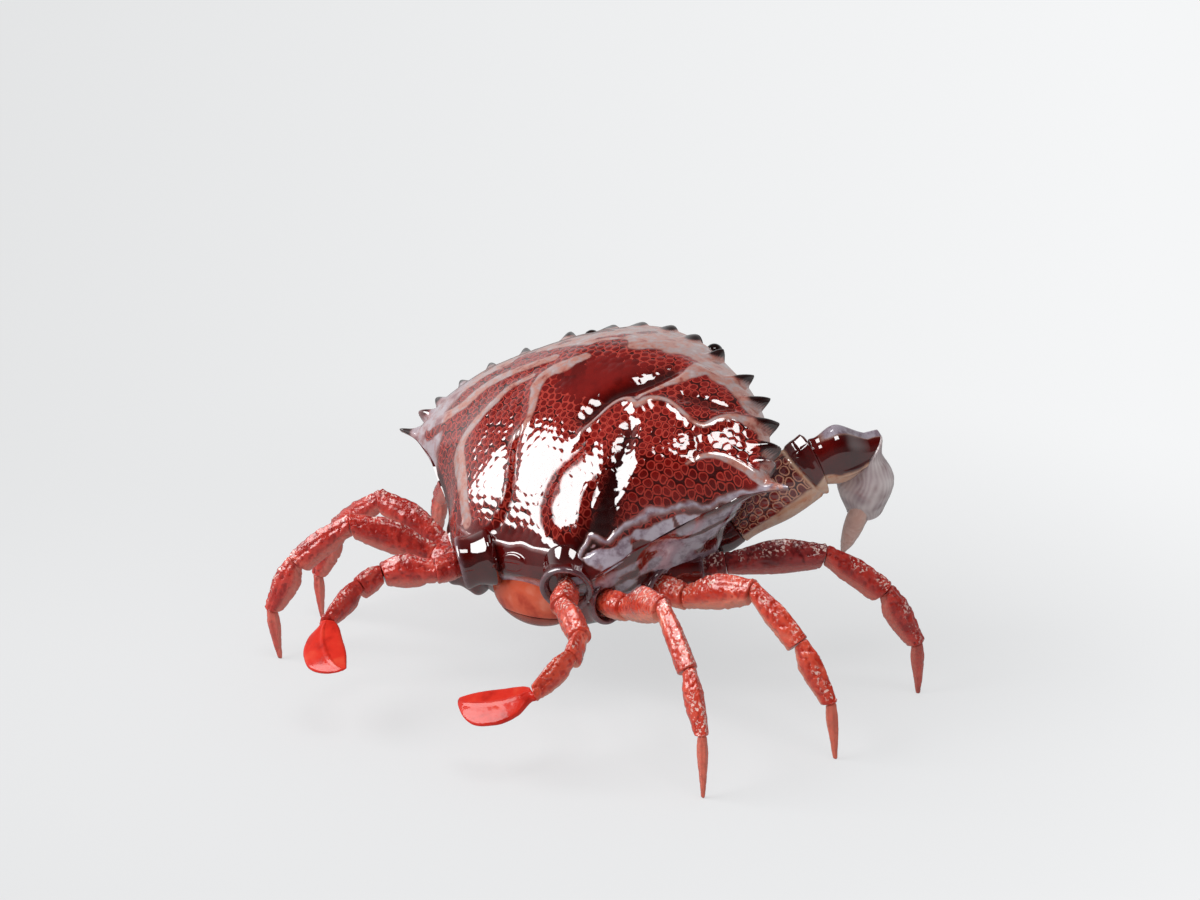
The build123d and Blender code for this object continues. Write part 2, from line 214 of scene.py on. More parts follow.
def surface(name, grid, material, slot, node, wrap=False, **values):
    """One closed piece from a grid of points in millimetres. wrap joins the last column to the first, and
    each open rim is closed by a fan to its middle. Extra grids become point attributes. If the volume comes
    out negative, the faces are turned round."""
    n, m = grid.shape[:2]
    index = np.arange(n * m).reshape(n, m)
    if wrap:
        a, b = index[:-1], index[1:]
        quads = np.stack([a, np.roll(a, -1, 1), np.roll(b, -1, 1), b], -1).reshape(-1, 4)
        rims = [index[0][::-1], index[-1]]
    else:
        corners = [index[:-1, :-1], index[:-1, 1:], index[1:, 1:], index[1:, :-1]]
        quads = np.stack(corners, -1).reshape(-1, 4)
        rims = [np.concatenate([index[:-1, 0], index[-1, :-1], index[:0:-1, -1], index[0, :0:-1]])]
    points = grid.reshape(-1, 3)
    extra = {k: v.reshape(-1) for k, v in values.items()}
    fans = []
    for rim in rims:
        middle = len(points)
        points = np.vstack([points, points[rim].mean(0)])
        extra = {k: np.append(v, v[rim].mean()) for k, v in extra.items()}
        fans.append(np.stack([rim, np.roll(rim, -1), np.full(len(rim), middle)], -1))
    fans = np.vstack(fans)
    tris = np.vstack([quads[:, [0, 1, 2]], quads[:, [0, 2, 3]], fans])
    p = points[tris]
    if np.einsum("ij,ij->i", p[:, 0], np.cross(p[:, 1], p[:, 2])).sum() < 0:
        quads, fans = quads[:, ::-1], fans[:, ::-1]
    mesh = bpy.data.meshes.new(name)
    places = (points - frame_origin) * MM
    mesh.from_pydata(places.tolist(), [], quads.tolist() + fans.tolist())
    for key, value in extra.items():
        layer = mesh.attributes.new(key, "FLOAT", "POINT")
        layer.data.foreach_set("value", value.astype(np.float32))
    mesh.polygons.foreach_set("use_smooth", [True] * len(mesh.polygons))
    mesh.set_sharp_from_angle(angle=math.radians(sharp_angle))
    mesh.materials.append(material)
    made = bpy.data.objects.new(name, mesh)
    bpy.context.scene.collection.objects.link(made)
    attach(made, "root")
    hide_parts(node)
    return made


# Colours and nodes. Inputs of a Mix node for numbers: what it gives at factor 0 and at factor 1
mix_low, mix_high = 2, 3


def colour(code):
    """sRGB hex to linear RGBA."""
    parts = [int(code[i:i + 2], 16) / 255 for i in (1, 3, 5)]
    return [c / 12.92 if c <= 0.04045 else ((c + 0.055) / 1.055) ** 2.4 for c in parts] + [1.0]


def add(tree, kind, settings=None, links=None, stops=()):
    """Adds a node. Settings go to its properties or unlinked inputs, and a hex code among them is a colour.
    Links give a node, or a node and its output, for each other input. Stops are a ramp's places and
    colours."""
    node = tree.nodes.new("ShaderNode" + kind)
    for key, value in (settings or {}).items():
        if isinstance(value, str) and value.startswith("#"):
            value = colour(value)
        if isinstance(key, int) or key in node.inputs:
            node.inputs[key].default_value = value
        else:
            setattr(node, key, value)
    for key, source in (links or {}).items():
        source, output = source if isinstance(source, tuple) else (source, 0)
        tree.links.new(source.outputs[output], node.inputs[key])
    if stops:
        node.color_ramp.interpolation = "EASE"
        while len(node.color_ramp.elements) < len(stops):
            node.color_ramp.elements.new(0.5)
        for element, (place, code) in zip(node.color_ramp.elements, stops):
            element.position = place
            element.color = colour(code)
    return node


def new_tree(made):
    """Empty node tree of a new material or world."""
    made.use_nodes = True
    made.node_tree.nodes.clear()
    return made.node_tree


def layered(tree, under, *coats):
    """Colour of coats of glaze over one another: each coat is a source of how far it covers and a colour."""
    under_socket, coat_socket, mixed = 6, 7, 2
    for cover, coat in coats:
        settings, links = {"data_type": "RGBA"}, {0: cover}
        for socket, value in ((under_socket, under), (coat_socket, coat)):
            (settings if isinstance(value, str) else links)[socket] = value
        under = add(tree, "Mix", settings, links), mixed
    return under


def per_mm(size):
    """Noise scale whose features are about that many millimetres wide."""
    return 1 / (size * MM)


def new_material(name):
    """New material with its empty node tree and a source of object coordinates."""
    made = bpy.data.materials.new(name)
    tree = new_tree(made)
    return made, tree, (add(tree, "TexCoord"), "Object")


# Glazes
def lustre_glaze(name, thin, outline):
    """Copper red lustre glaze over porcelain, fired glossy: deep oxblood where it pools and as painted shade
    in the furrows and valleys of the back, a rosy outline round each pebble, pale pink where it thins over
    the ridges, and lilac painted reflection of the pale floor on the flanks. The lustre gives mirror-bright
    reflections, and bands where it fired dull break them."""
    made, tree, place = new_material(name)
    pale, gap, depth, number, cool, dull = [(add(tree, "Attribute", {"attribute_name": key}), "Fac")
                                            for key in ("pale", "gap", "depth", "number", "cool", "dull")]
    drift = add(tree, "TexNoise", {"Scale": per_mm(26.0), "Detail": 3.0}, {"Vector": place})
    streaks = add(tree, "TexNoise", {"Scale": per_mm(7.0), "Detail": 5.0, "Roughness": 0.65},
                  {"Vector": place})
    fine = add(tree, "TexNoise", {"Scale": per_mm(1.1)}, {"Vector": place})
    ring = add(tree, "ValToRGB", {}, {"Fac": gap},
               [(0.035, "#000000"), (0.08, "#EEEEEE"), (0.11, "#EEEEEE"), (0.2, "#000000")])
    crack = add(tree, "ValToRGB", {}, {"Fac": gap}, [(0.0, "#F4F4F4"), (0.055, "#000000")])
    deep = add(tree, "ValToRGB", {}, {"Fac": drift}, [(0.3, "#450705"), (0.5, "#680B09"), (0.7, "#8A130E")])
    blush = add(tree, "ValToRGB", {}, {"Fac": streaks}, list(zip((0.3, 0.45, 0.58, 0.72), thin)))
    # Lilac on the thin glaze of the flanks and the left wing, mostly a painted reflection of the pale floor
    lilac = add(tree, "ValToRGB", {}, {"Fac": streaks}, [(0.35, "#85727F"), (0.6, "#B8AEBA")])
    thinned = layered(tree, blush, (cool, lilac))
    # Deepest oxblood under the depth mask: pooled glaze, and painted shade in the furrows and valleys of the
    # back
    base = layered(tree, deep, (number, "#82140F"), (ring, outline), (crack, "#380706"), (depth, "#260404"),
                   (pale, thinned))
    rounding = add(tree, "ValToRGB", {}, {"Fac": gap},
                   [(0.0, "#000000"), (0.12, "#D0D0D0"), (0.4, "#FFFFFF")])
    pebbles = add(tree, "Bump", {"Distance": 0.05 * MM, "Strength": 0.5}, {"Height": rounding})
    skin = add(tree, "Bump", {"Distance": 0.05 * MM, "Strength": 0.25}, {"Height": fine, "Normal": pebbles})
    lustrous = add(tree, "MapRange", {"To Min": 0.5, "To Max": 0.04}, {"Value": dull})
    shader = add(tree, "BsdfPrincipled",
                 {"Roughness": 0.05, "IOR": 2.3, "Coat Roughness": 0.02, "Coat IOR": 1.6},
                 {"Base Color": base, "Normal": skin, "Specular IOR Level": lustrous,
                  "Coat Weight": lustrous})
    add(tree, "OutputMaterial", {}, {"Surface": shader})
    return made


def coral_glaze(name, deep, body, bloom, matte):
    """Coral red lead-free glaze brushed over a pebbled cast: glossy and deeper on the upper side, thin and
    nearly matte salmon below, with lighter bloom where it runs thin. Pale flecks along the crests are
    painted highlights, glints of the lights put into the colour."""
    made, tree, place = new_material(name)
    glaze, pits, crest = [(add(tree, "Attribute", {"attribute_name": key}), "Fac")
                          for key in ("glaze", "pits", "crest")]
    drift = add(tree, "TexNoise", {"Scale": per_mm(14.0), "Detail": 3.0}, {"Vector": place})
    speckle = add(tree, "TexNoise", {"Scale": per_mm(1.9), "Detail": 3.0, "Roughness": 0.62},
                  {"Vector": place})
    dots = add(tree, "TexNoise", {"Scale": per_mm(1.5)}, {"Vector": place})
    tone = add(tree, "ValToRGB", {}, {"Fac": drift}, [(0.3, deep), (0.55, body), (0.75, bloom)])
    # Painted highlights: fine dots on the crest mask become pale glints, in the colour #F2CFC4 below
    glint_mask = add(tree, "ValToRGB", {}, {"Fac": dots}, [(0.54, "#000000"), (0.6, "#FFFFFF")])
    painted_glints = add(tree, "Math", {"operation": "MULTIPLY"}, {0: glint_mask, 1: crest})
    grain = add(tree, "ValToRGB", {}, {"Fac": speckle}, [(0.35, matte), (0.7, bloom)])
    base = layered(tree, grain, (glaze, layered(tree, tone, (pits, deep), (painted_glints, "#F2CFC4"))))
    rough = add(tree, "MapRange", {"To Min": 0.5, "To Max": 0.06}, {"Value": glaze})
    skin = add(tree, "Bump", {"Distance": 0.55 * MM, "Strength": 1.0}, {"Height": speckle})
    shader = add(tree, "BsdfPrincipled", {"IOR": 1.6, "Coat Weight": 0.9, "Coat Roughness": 0.04},
                 {"Base Color": base, "Roughness": rough, "Normal": skin})
    add(tree, "OutputMaterial", {}, {"Surface": shader})
    return made


def smooth_glaze(name, deep, body, bloom, roughness, ior=1.6, stripe=None):
    """Plain poured glaze, smooth and glossy, with slow drifts of tone and, if asked, brushed stripes."""
    made, tree, place = new_material(name)
    drift = add(tree, "TexNoise", {"Scale": per_mm(12.0), "Detail": 3.0}, {"Vector": place})
    fine = add(tree, "TexNoise", {"Scale": per_mm(1.4)}, {"Vector": place})
    tone = add(tree, "ValToRGB", {}, {"Fac": drift}, [(0.3, deep), (0.52, body), (0.74, bloom)])
    if stripe:
        brushed = add(tree, "Attribute", {"attribute_name": "pale"}), "Fac"
        tone = layered(tree, tone, (brushed, stripe))
    skin = add(tree, "Bump", {"Distance": 0.05 * MM, "Strength": 0.3}, {"Height": fine})
    shader = add(tree, "BsdfPrincipled",
                 {"IOR": ior, "Roughness": roughness, "Coat Weight": 0.3, "Coat Roughness": 0.03},
                 {"Base Color": tone, "Normal": skin})
    add(tree, "OutputMaterial", {}, {"Surface": shader})
    return made


# Lustre on the body, and browner with peach edges on the claws
lustre = lustre_glaze("oxblood_lustre_glaze", ("#9C5046", "#BD8376", "#B49A98", "#C6B4B2"), "#BE4438")
claw_lustre = lustre_glaze("claw_lustre_glaze", ("#C77C58", "#DDA888", "#E0B89C", "#CFA89C"), "#E2A484")
# Brushed coats: coral, crimson and maroon on the legs, and a thin wash that leaves the fingers peach bisque
coral = coral_glaze("coral_glaze", "#BC3020", "#DA503A", "#EA7E66", "#DE8A6E")
crimson = coral_glaze("crimson_glaze", "#96201C", "#C23A30", "#D8604F", "#CE7060")
maroon = coral_glaze("maroon_glaze", "#641619", "#96302F", "#B44E47", "#BC6258")
finger_glaze = coral_glaze("peach_bisque", "#D29A86", "#E2B2A2", "#EBC8BC", "#E4BAAA")
# Poured coats: pearl with brushed stripes on the hands, red on the paddles, rust and brown on the tail flap
# and black on the eyes
hand_glaze = smooth_glaze("pearl_glaze", "#7A5254", "#A48C90", "#B8A8AC", 0.14, 1.8, "#E4D8D6")
red = smooth_glaze("red_glaze", "#A81A12", "#CF2C1E", "#D8452F", 0.2, 1.4)
rust = smooth_glaze("rust_glaze", "#B23A22", "#D25A3C", "#DA7A60", 0.14)
brown = smooth_glaze("brown_glaze", "#6E2018", "#96402E", "#A65A4A", 0.14)
black = smooth_glaze("black_glaze", "#0C0606", "#1C0B0A", "#3A120E", 0.06)


# Body frame to crab frame
def turn_about_y(degrees):
    """Matrix of a turn that leans +Z towards +X."""
    a = math.radians(degrees)
    return np.array([[math.cos(a), 0, math.sin(a)], [0, 1, 0], [-math.sin(a), 0, math.cos(a)]])


tilt = math.radians(body_tilt)
tilt_turn = np.array([[1, 0, 0], [0, math.cos(tilt), -math.sin(tilt)], [0, math.sin(tilt), math.cos(tilt)]])
roll_turn = turn_about_y(-body_roll)
roll_centre = np.array([0, 0, roll_axis_height])
rear_place = np.array([0, rear_forward, rear_height])


def from_body(points):
    """Tilts body frame points about the rear margin, sets them over the table and rolls them."""
    placed = np.asarray(points) @ tilt_turn.T + rear_place
    return (placed - roll_centre) @ roll_turn.T + roll_centre


# Margins of the back in its own plane: share of the half width across, share of the length along
rear_shares = [(0, 0.011), (0.2, 0.008), (0.35, 0.019), (0.46, 0.081), (0.58, 0.196), (0.77, 0.324),
               (0.92, 0.401), (1, 0.434), (1.125, 0.462)]
front_shares = [(0, 1.0), (0.31, 0.952), (0.53, 0.867), (0.7, 0.79), (0.83, 0.703), (0.92, 0.62),
                (0.98, 0.529), (1, 0.5), (1.125, 0.468)]
# Belly along the length: share of its full depth, and share of the half width that its core takes
keel_shares = [(0, 0.8), (0.25, 0.95), (0.45, 1), (0.7, 0.7), (0.88, 0.41), (1, 0.2)]
core_shares = [(0, 0.52), (0.2, 0.67), (0.32, 0.74), (0.5, 0.7), (0.72, 0.53), (0.9, 0.36), (1, 0.3)]

# Teeth: place on the front margin, turn in its plane, rise, length beyond the margin, half width
teeth = [(0.985, 4, 38, 7.5, 4.0), (0.95, 26, 10, 7.0, 4.2), (0.88, 34, 8, 7.0, 4.4),
         (0.775, 44, 6, 7.0, 4.4), (0.64, 58, 4, 6.5, 4.2), (0.44, 72, 30, 5.0, 4.5),
         (0.25, 84, -8, 3.5, 6.0), (0.09, 88, -4, 3.0, 6.0)]


def margins(x):
    """Rear and front margin of the back at a place across."""
    side = np.abs(x) / half_width
    return body_length * smooth_table(rear_shares, side), body_length * smooth_table(front_shares, side)


def pull_teeth(x, y, z):
    """Draws the margin out into teeth: every point moves along a tooth's way by its length, times a bell
    across the tooth and a smooth fall from the margin inwards. Also marks the tips."""
    moved = np.stack([x, y, z], -1)
    tip = 0 * x
    for across, turn, rise, length, wide in teeth:
        for side in (-1, 1):
            way = heading(turn, rise, side)
            root_x = side * across * half_width
            root_y = margins(np.array(root_x))[1]
            flat = way[:2] / np.hypot(*way[:2])
            ahead = (x - root_x) * flat[0] + (y - root_y) * flat[1]
            beside = (x - root_x) * -flat[1] + (y - root_y) * flat[0]
            near = np.maximum(0, 1 - np.abs(beside / wide) ** 2)
            pull = length * smooth_step(-9.0, 0.5, ahead) * near ** 1.3
            tip = np.maximum(tip, smooth_step(0.18, 0.42, pull / length))
            moved = moved + pull[..., None] * way
    return moved, tip


# Lines on the back, as places across and along in the margin plane and a half width of the glaze or groove.
# Raised bands of thin pale glaze, with the rise of each
bands = [
    ([(-9, 126, 2.9), (-17, 117, 5.0), (-25, 112, 4.6), (-26, 101, 3.7), (-22, 91, 2.5), (-19, 83, 1.7),
      (-18, 74, 1.7), (-23, 63, 0.8)], 1.0),
    ([(-34, 108, 2.1), (-39, 104, 1.7), (-46, 98, 2.1), (-49, 90, 2.1), (-53, 80, 2.9), (-60, 66, 3.7),
      (-61, 57, 5.4), (-54, 47, 4.6), (-45, 34, 3.5), (-38, 20, 3.0)], 0.8),
    ([(-30, 124, 3.0), (-47, 114, 2.9), (-59, 107, 3.3), (-69, 99, 3.3), (-76, 88, 3.3), (-88, 82, 3.3),
      (-100, 82, 5.0)], 0.8),
    ([(16, 66, 0.4), (18, 75, 0.5), (21, 84, 0.6), (24, 95, 1.2), (29, 101, 1.3), (35, 101, 1.3),
      (40, 97, 2.0), (43, 101, 1.9), (47, 105, 1.3), (54, 106, 1.0), (61, 103, 0.8), (68, 99, 1.0),
      (75, 96, 1.0), (80, 97, 1.2), (84, 105, 1.6), (91, 110, 2.5), (102, 109, 2.9), (109, 104, 3.0)], 1.7),
    ([(38, 102, 1.2), (43, 109, 1.4), (47, 116, 1.7), (52, 123, 2.9), (55, 132, 5.0), (57, 140, 6.5)], 1.5),
    ([(78, 74, 0.4), (82, 79, 1.0), (89, 83, 1.2), (97, 84, 1.7), (104, 83, 2.1), (116, 81, 3.0)], 1.5)]
# Furrows and valleys, with their depths: a furrow fades in at its start, a valley also fades out
furrows = [
    ([(38, 92, 4.0), (43, 82, 5.0), (45, 66, 6.0), (47, 46, 7.5), (46, 30, 8.0), (38, 17, 7.0)], 2.4),
    ([(75, 92, 3.0), (79, 86, 3.5), (80, 78, 3.0)], 1.3)]
valleys = [
    ([(12, 78, 5.0), (20, 97, 6.0), (30, 109, 6.0), (38, 116, 6.0), (44, 128, 6.0), (48, 136, 5.0)], 2.6),
    ([(56, 110, 4.0), (66, 113, 5.0), (78, 112, 4.5), (88, 117, 3.0)], 1.8)]
# Steps in the surface under dull glaze, which break the reflections, with their rises
steps = [
    ([(24, 72, 2.0), (22, 62, 2.6), (16, 54, 3.2), (13, 44, 3.4), (12, 33, 3.4), (16, 24, 3.2),
      (25, 19, 2.6), (31, 21, 2.2)], 0.8),
    ([(-21, 77, 1.4), (-20, 60, 1.7), (-15, 46, 2.0), (-13, 34, 2.2), (-17, 22, 1.8), (-24, 17, 1.4)], -0.9),
    ([(36, 50, 1.8), (34, 38, 2.4), (37, 27, 2.4), (35, 19, 1.8)], -1.0)]
# Red island in the pale glaze of the left wing
island = [(-99, 77, 5.5), (-86, 81, 6.5), (-72, 94, 4.5), (-57, 105, 3.5), (-41, 110, 2.0)]
wing_edge = -84.0
# Width of the pale band of glaze and painted sheen along the front margin, from the left spine to the right
# one
rim_widths = [(-114, 34), (-85, 32), (-60, 33), (-37, 31), (-14, 33), (8, 35), (23, 29), (34, 23), (49, 17),
              (64, 18), (77, 12), (88, 10), (100, 7), (114, 9)]
# Upper edge of the lilac, veined zone over the right flank, a painted reflection of the pale floor, and
# where it
# # starts across
flank_edge = [(33, 10, 0), (40, 25, 0), (49, 28, 0), (59, 41, 0), (70, 52, 0), (80, 57, 0), (90, 63, 0),
              (104, 72, 0), (118, 80, 0)]
flank_start = 28.0
# Smooth red pool near the middle of the front, and low boss on the rear edge: middle and half widths
pool_middle, pool_reach = (12.0, 112.0), (24.0, 15.0)
boss_middle, boss_reach = (-4.0, 6.5), (7.5, 3.4)
boss_height = 1.3
# Thin hem line along the rear edge: distance from it, half width, height and reach to either side
hem_distance, hem_width, hem_height, hem_reach = 12.0, 0.8, 0.35, 40.0


def dome(x, y, rear, front):
    """Height of the back: an arch along each section, lower towards the side spines."""
    side = np.abs(x) / half_width
    along = np.clip((y - rear) / np.maximum(front - rear, 0.01), 0, 1)
    power = np.where(along < 0.5, 2.3, 2.9)
    arch = 1 - np.abs(2 * along - 1) ** power
    tip = 1 - smooth_step(0.95, 1.125, side)
    return (dome_height * np.maximum(0, 1 - side ** 2.3) + lip * 1.4 * (0.25 + 0.75 * tip)) * arch


def taper(share, first, last):
    """Fades in over the first share of a line and out over its last share."""
    return smooth_step(0, first, share) * smooth_step(1, 1 - last, share)


def rim_glaze_and_sheen(x, y, front, drift, fray):
    """Pale glaze with a painted sheen, the pale reflection of the surround at grazing angles, on the front
    margin, with red streaks through its left part, and on the left wing around the red island. Also gives
    the wing."""
    rim_width = smooth_table(rim_widths, x)
    front_gap = front - y + 2.5 * drift + 0.8 * fray
    pale = smooth_step(rim_width + 1.0, rim_width - 1.5, front_gap)
    combed = np.stack([x + 0.5 * y, 3.2 * (front_gap + 0.25 * x), 0 * x], -1)
    streak = smooth_step(0.3, 0.42, lumps(combed, 13.0, 17))
    pale = pale * (1 - streak * smooth_step(30.0, 0.0, x) * smooth_step(6.0, 10.0, front_gap))
    wing = smooth_step(wing_edge, wing_edge - 6.0, x + 2.0 * drift + fray)
    far, wide = near_line(x, y, island)[:2]
    return np.maximum(pale, wing) * (1 - smooth_step(0.6, -0.8, far - wide + 0.7 * fray)), wing


def flank_reflection(x, y, drift, fray):
    """Lilac with red veins below the edge line of the right flank, a painted reflection of the pale floor
    with the legs and the shaded floor as the veins, and the ruffle along that line.
    """
    far, wide, share, side = near_line(x, y, flank_edge)
    below = -side * far + 1.5 * drift + 0.6 * fray
    ruffle = bell(below - 1.5, 1.1)
    combed = np.stack([0.7 * x + 0.5 * y, 1.5 * (y - 0.55 * x), 0 * x], -1)
    veins = np.abs(lumps(combed, 12.0, 19)) + 0.1 * fray
    cool = smooth_step(4.2, 5.2, below) * smooth_step(0.15, 0.22, veins)
    right = smooth_step(flank_start, flank_start + 6.0, x)
    return right * np.maximum(cool, ruffle), right * ruffle


def groove_depth(x, y):
    """Depth of the deepest furrow or valley at a place: a bell across each line."""
    groove = 0 * x
    for line, deep in furrows:
        far, wide, share, side = near_line(x, y, rounded(line))
        groove = np.maximum(groove, deep * bell(far, wide) * smooth_step(0, 0.12, share))
    for line, deep in valleys:
        far, wide, share, side = near_line(x, y, rounded(line))
        groove = np.maximum(groove, deep * bell(far, wide) * taper(share, 0.1, 0.15))
    return groove


def back_relief(x, y, rear, front):
    """Relief of the back and the attributes that colour it: how pale it is, how much lilac, mostly painted
    reflection, it takes, how far inside its pebble a point lies, a number for each pebble, how dark its
    glaze is, with painted shade in the furrows and valleys, and how dull it is."""
    flat = np.stack([x, y, 0 * x], -1)
    drift, fray = lumps(flat, 8.0, 3), lumps(flat, 2.6, 4)
    pale, wing = rim_glaze_and_sheen(x, y, front, drift, fray)
    height = 0.9 * lumps(flat, 24.0, 13) + 0.45 * lumps(flat, 12.0, 14)
    for line, rise in bands:
        far, wide, share, side = near_line(x, y, rounded(line))
        edge = far - wide * (1 + 0.18 * drift) - 0.5 * fray * smooth_step(0.5, 3.0, wide)
        pale = np.maximum(pale, smooth_step(0.7, -0.5, edge))
        height = height + rise * (0.3 + 0.7 * taper(share, 0.08, 0.06)) * bell(far, wide + 2.6)
    dull = 0 * x
    for line, rise in steps:
        far, wide, share, side = near_line(x, y, rounded(line))
        dull = np.maximum(dull, smooth_step(1.0, -0.6, far - 1.25 * wide + 1.3 * drift + 0.9 * fray))
        climb = side * far / wide * np.exp(-0.5 * (far / wide) ** 2)
        height = height + 1.3 * rise * taper(share, 0.12, 0.12) * climb
    groove = groove_depth(x, y)
    # Lilac painted reflection of the pale floor on the right flank, made pale, and lilac on the left wing
    cool, ruffle = flank_reflection(x, y, drift, fray)
    pale, cool = np.maximum(pale, 0.95 * cool), np.maximum(cool, 0.55 * wing)
    height = height - groove + 0.5 * ruffle
    # Pebbles lie under the red glaze, but not on the smooth rear rim and few in the pool
    rim = smooth_step(11.0, 21.0, y - rear + 2.0 * drift)
    rim = np.maximum(rim, smooth_step(38.0, 50.0, np.abs(x)) * smooth_step(2.0, 5.0, y - rear))
    inside, near, number = cells(x + 1.2 * lumps(flat, 14.0, 5), y + 1.2 * lumps(flat, 14.0, 6), cell_size)
    pool = bell(np.hypot((x - pool_middle[0]) / pool_reach[0], (y - pool_middle[1]) / pool_reach[1]), 1.0)
    zone = (1 - smooth_step(0.1, 0.5, pale)) * rim * (1 - 0.55 * pool)
    gap = pebble_gap(inside, near) + 1 - zone
    height = height + zone * cell_relief * (1 - 3.2 * near ** 2)
    # Hem line and boss of the rear rim, and the darker tone of the rear right part
    hem = bell(y - rear - hem_distance + 1.2 * drift, hem_width)
    hem = hem * smooth_step(hem_reach + 12.0, hem_reach, np.abs(x))
    pale, cool = np.maximum(pale, 0.6 * hem), np.maximum(cool, 0.5 * hem)
    boss = np.hypot((x - boss_middle[0]) / boss_reach[0], (y - boss_middle[1] - 0.05 * x) / boss_reach[1])
    height = height + hem_height * hem + boss_height * smooth_step(1.15, 0.75, boss)
    shade = smooth_step(88.0, 40.0, y + 8.0 * lumps(flat, 20.0, 24)) * smooth_step(-45.0, -15.0, x)
    # Darker glaze: painted shade in the furrows and valleys, and a darker plain rear rim and rear right
    # part, kept off the pale glaze
    depth = (0.34 * groove + 0.35 * (1 - rim) + 0.34 * shade * rim) * (1 - pale)
    return height, {"pale": pale, "gap": gap, "depth": np.clip(depth, 0, 1),
                    "number": number * zone + pool * (1 - zone), "cool": cool, "dull": dull * (1 - pale)}


def carapace():
    """The back: height over a grid of the margin plane that is closer near its edges, with ridges, pebbles
    and teeth drawn out of its edge."""
    columns, rows = 400, 245
    bend = np.linspace(-1, 1, columns)
    x = (spine_reach * (1.12 * bend - 0.12 * bend ** 3))[:, None]
    t = np.linspace(0, 1, rows)[None, :]
    t = t - 0.05 * np.sin(2 * math.pi * t)
    rear, front = margins(x)
    x = x + 0 * t
    y = rear + (front - rear) * t
    rear, front = rear + 0 * t, front + 0 * t
    height, values = back_relief(x, y, rear, front)
    edge = smooth_step(0, 5.0, np.minimum(y - rear, front - y))
    moved, tip = pull_teeth(x, y, dome(x, y, rear, front) + (height - glaze_sink) * edge)
    tip = tip * smooth_step(spine_reach - 12, spine_reach - 22, np.abs(x))
    left_spine = smooth_step(11.0 - spine_reach, 7.5 - spine_reach, x + 0.8 * lumps(moved, 3.0, 23))
    tip = np.maximum(tip, left_spine)
    values.update(pale=values["pale"] * (1 - tip), depth=np.maximum(values["depth"], tip))
    surface("carapace", from_body(moved), lustre, "lustre_glaze", "shell", **values)


def underside():
    """The belly: thin wings, and a deep core that falls off as 1 / (1 + spread ** 8), with waves and lumps
    along its steep flanks."""
    columns, rows = 250, 190
    bend = np.linspace(-1, 1, columns)
    x = (spine_reach * bend)[:, None]
    t = (0.5 - 0.5 * np.cos(math.pi * np.linspace(0, 1, rows)))[None, :]
    rear, front = margins(x)
    x = x + 0 * t
    y = rear + (front - rear) * t
    rim = (front - rear) / body_length
    place = y / body_length
    run = np.clip(np.minimum(t * rim, (1 - t) * rim) / 0.05, 0, 1) ** 0.5
    side = np.abs(x) / half_width
    spread = side / smooth_table(core_shares, place)
    core = belly_depth * smooth_table(keel_shares, place) / (1 + spread ** 8)
    wing = (wing_depth + (lip - wing_depth) * np.minimum(side, 1)) * (1 - np.abs(2 * t - 1) ** 4)
    z = -(wing + core * run)
    flank = bell(spread - 1.0, 0.3)
    places = np.stack([x, y, z], -1)
    folds = np.sin((z * 0.8 + 0.5 * y) / 4.6 + 2.2 * lumps(places, 24.0, 8))
    z = z + flank * folds * 1.5 + 1.3 * flank * lumps(places, 9.0, 10)
    shift = flank * (2.6 * lumps(places, 15.0, 9) + 1.0 * lumps(places, 7.0, 12))
    moved, tip = pull_teeth(x + np.sign(x) * shift * smooth_step(0, 1, np.abs(x) / 20), y, z)
    # Painted reflection on the flanks of the belly: lilac where the pale floor mirrors, red veins where the
    # legs and the shaded floor below would mirror
    veins = np.abs(lumps(np.stack([x * 0.6, y + 0.8 * z, 1.6 * z], -1), 16.0, 15)) - 0.1
    cool = smooth_step(0.06, 0.11, veins + 0.15 * lumps(places, 5.0, 16)) * smooth_step(0, 6, -z)
    cool = cool * (1 - 0.65 * smooth_step(85, 125, y))
    pale = np.maximum(0.92 * cool, 0.6 * smooth_step(12, 4, front - y))
    surface("belly", from_body(moved), lustre, "lustre_glaze", "shell", pale=pale * (1 - tip),
            gap=0 * x + 1, depth=np.maximum(0.45, tip), number=0 * x, cool=cool)


# Sockets: share of the half width and of the length, depth, compass angle and rise of the axis, and the
# radius of the collar and of the mouth
sockets = {
    "swim_leg": (0.3035, -0.0036, -0.8, -65, -7, swim_collar_radius, swim_mouth_radius),
    "third_leg": (0.444, 0.041, 15.4, -12, 8, collar_radius, mouth_radius),
    "second_leg": (0.57, 0.1755, 29.3, 0, -14, collar_radius, mouth_radius),
    "first_leg": (0.6755, 0.297, 37.7, 36, 7, collar_radius, mouth_radius),
    "claw": (0.614, 0.424, 45.0, 40, 28, claw_collar_radius, claw_mouth_radius),
}
# Profile of a hood, which swells and then flares into the body: millimetres behind its lip and share of the
# collar radius
hood_profile = [(21, 0.0), (21, 0.9), (18, 1.3), (13, 1.16), (9, 1.06), (6.5, 1.03), (4.0, 1.06),
                (1.6, 1.1), (0.2, 1.06), (-0.3, 0.98), (0.1, 0.9), (1.2, 0.845)]
# Compass angle and rise of the rear hoods, which turn a little more to the rear than their sockets
hood_turns = {("swim_leg", -1): (-40, -14), ("swim_leg", 1): (-66, -20)}


def full_turn(count):
    """Angles round a closed section, as a row."""
    return np.linspace(0, 2 * math.pi, count, endpoint=False)[None, :]


def side_label(side):
    """Start of the name of a piece on that side."""
    return "right_" if side > 0 else "left_"


def socket_place(name, side):
    """Middle of a socket's mouth in the crab's frame, without the roll of the body."""
    across, along, depth = sockets[name][:3]
    place = np.array([side * across * half_width, along * body_length, -depth])
    return tilt_turn @ place + rear_place


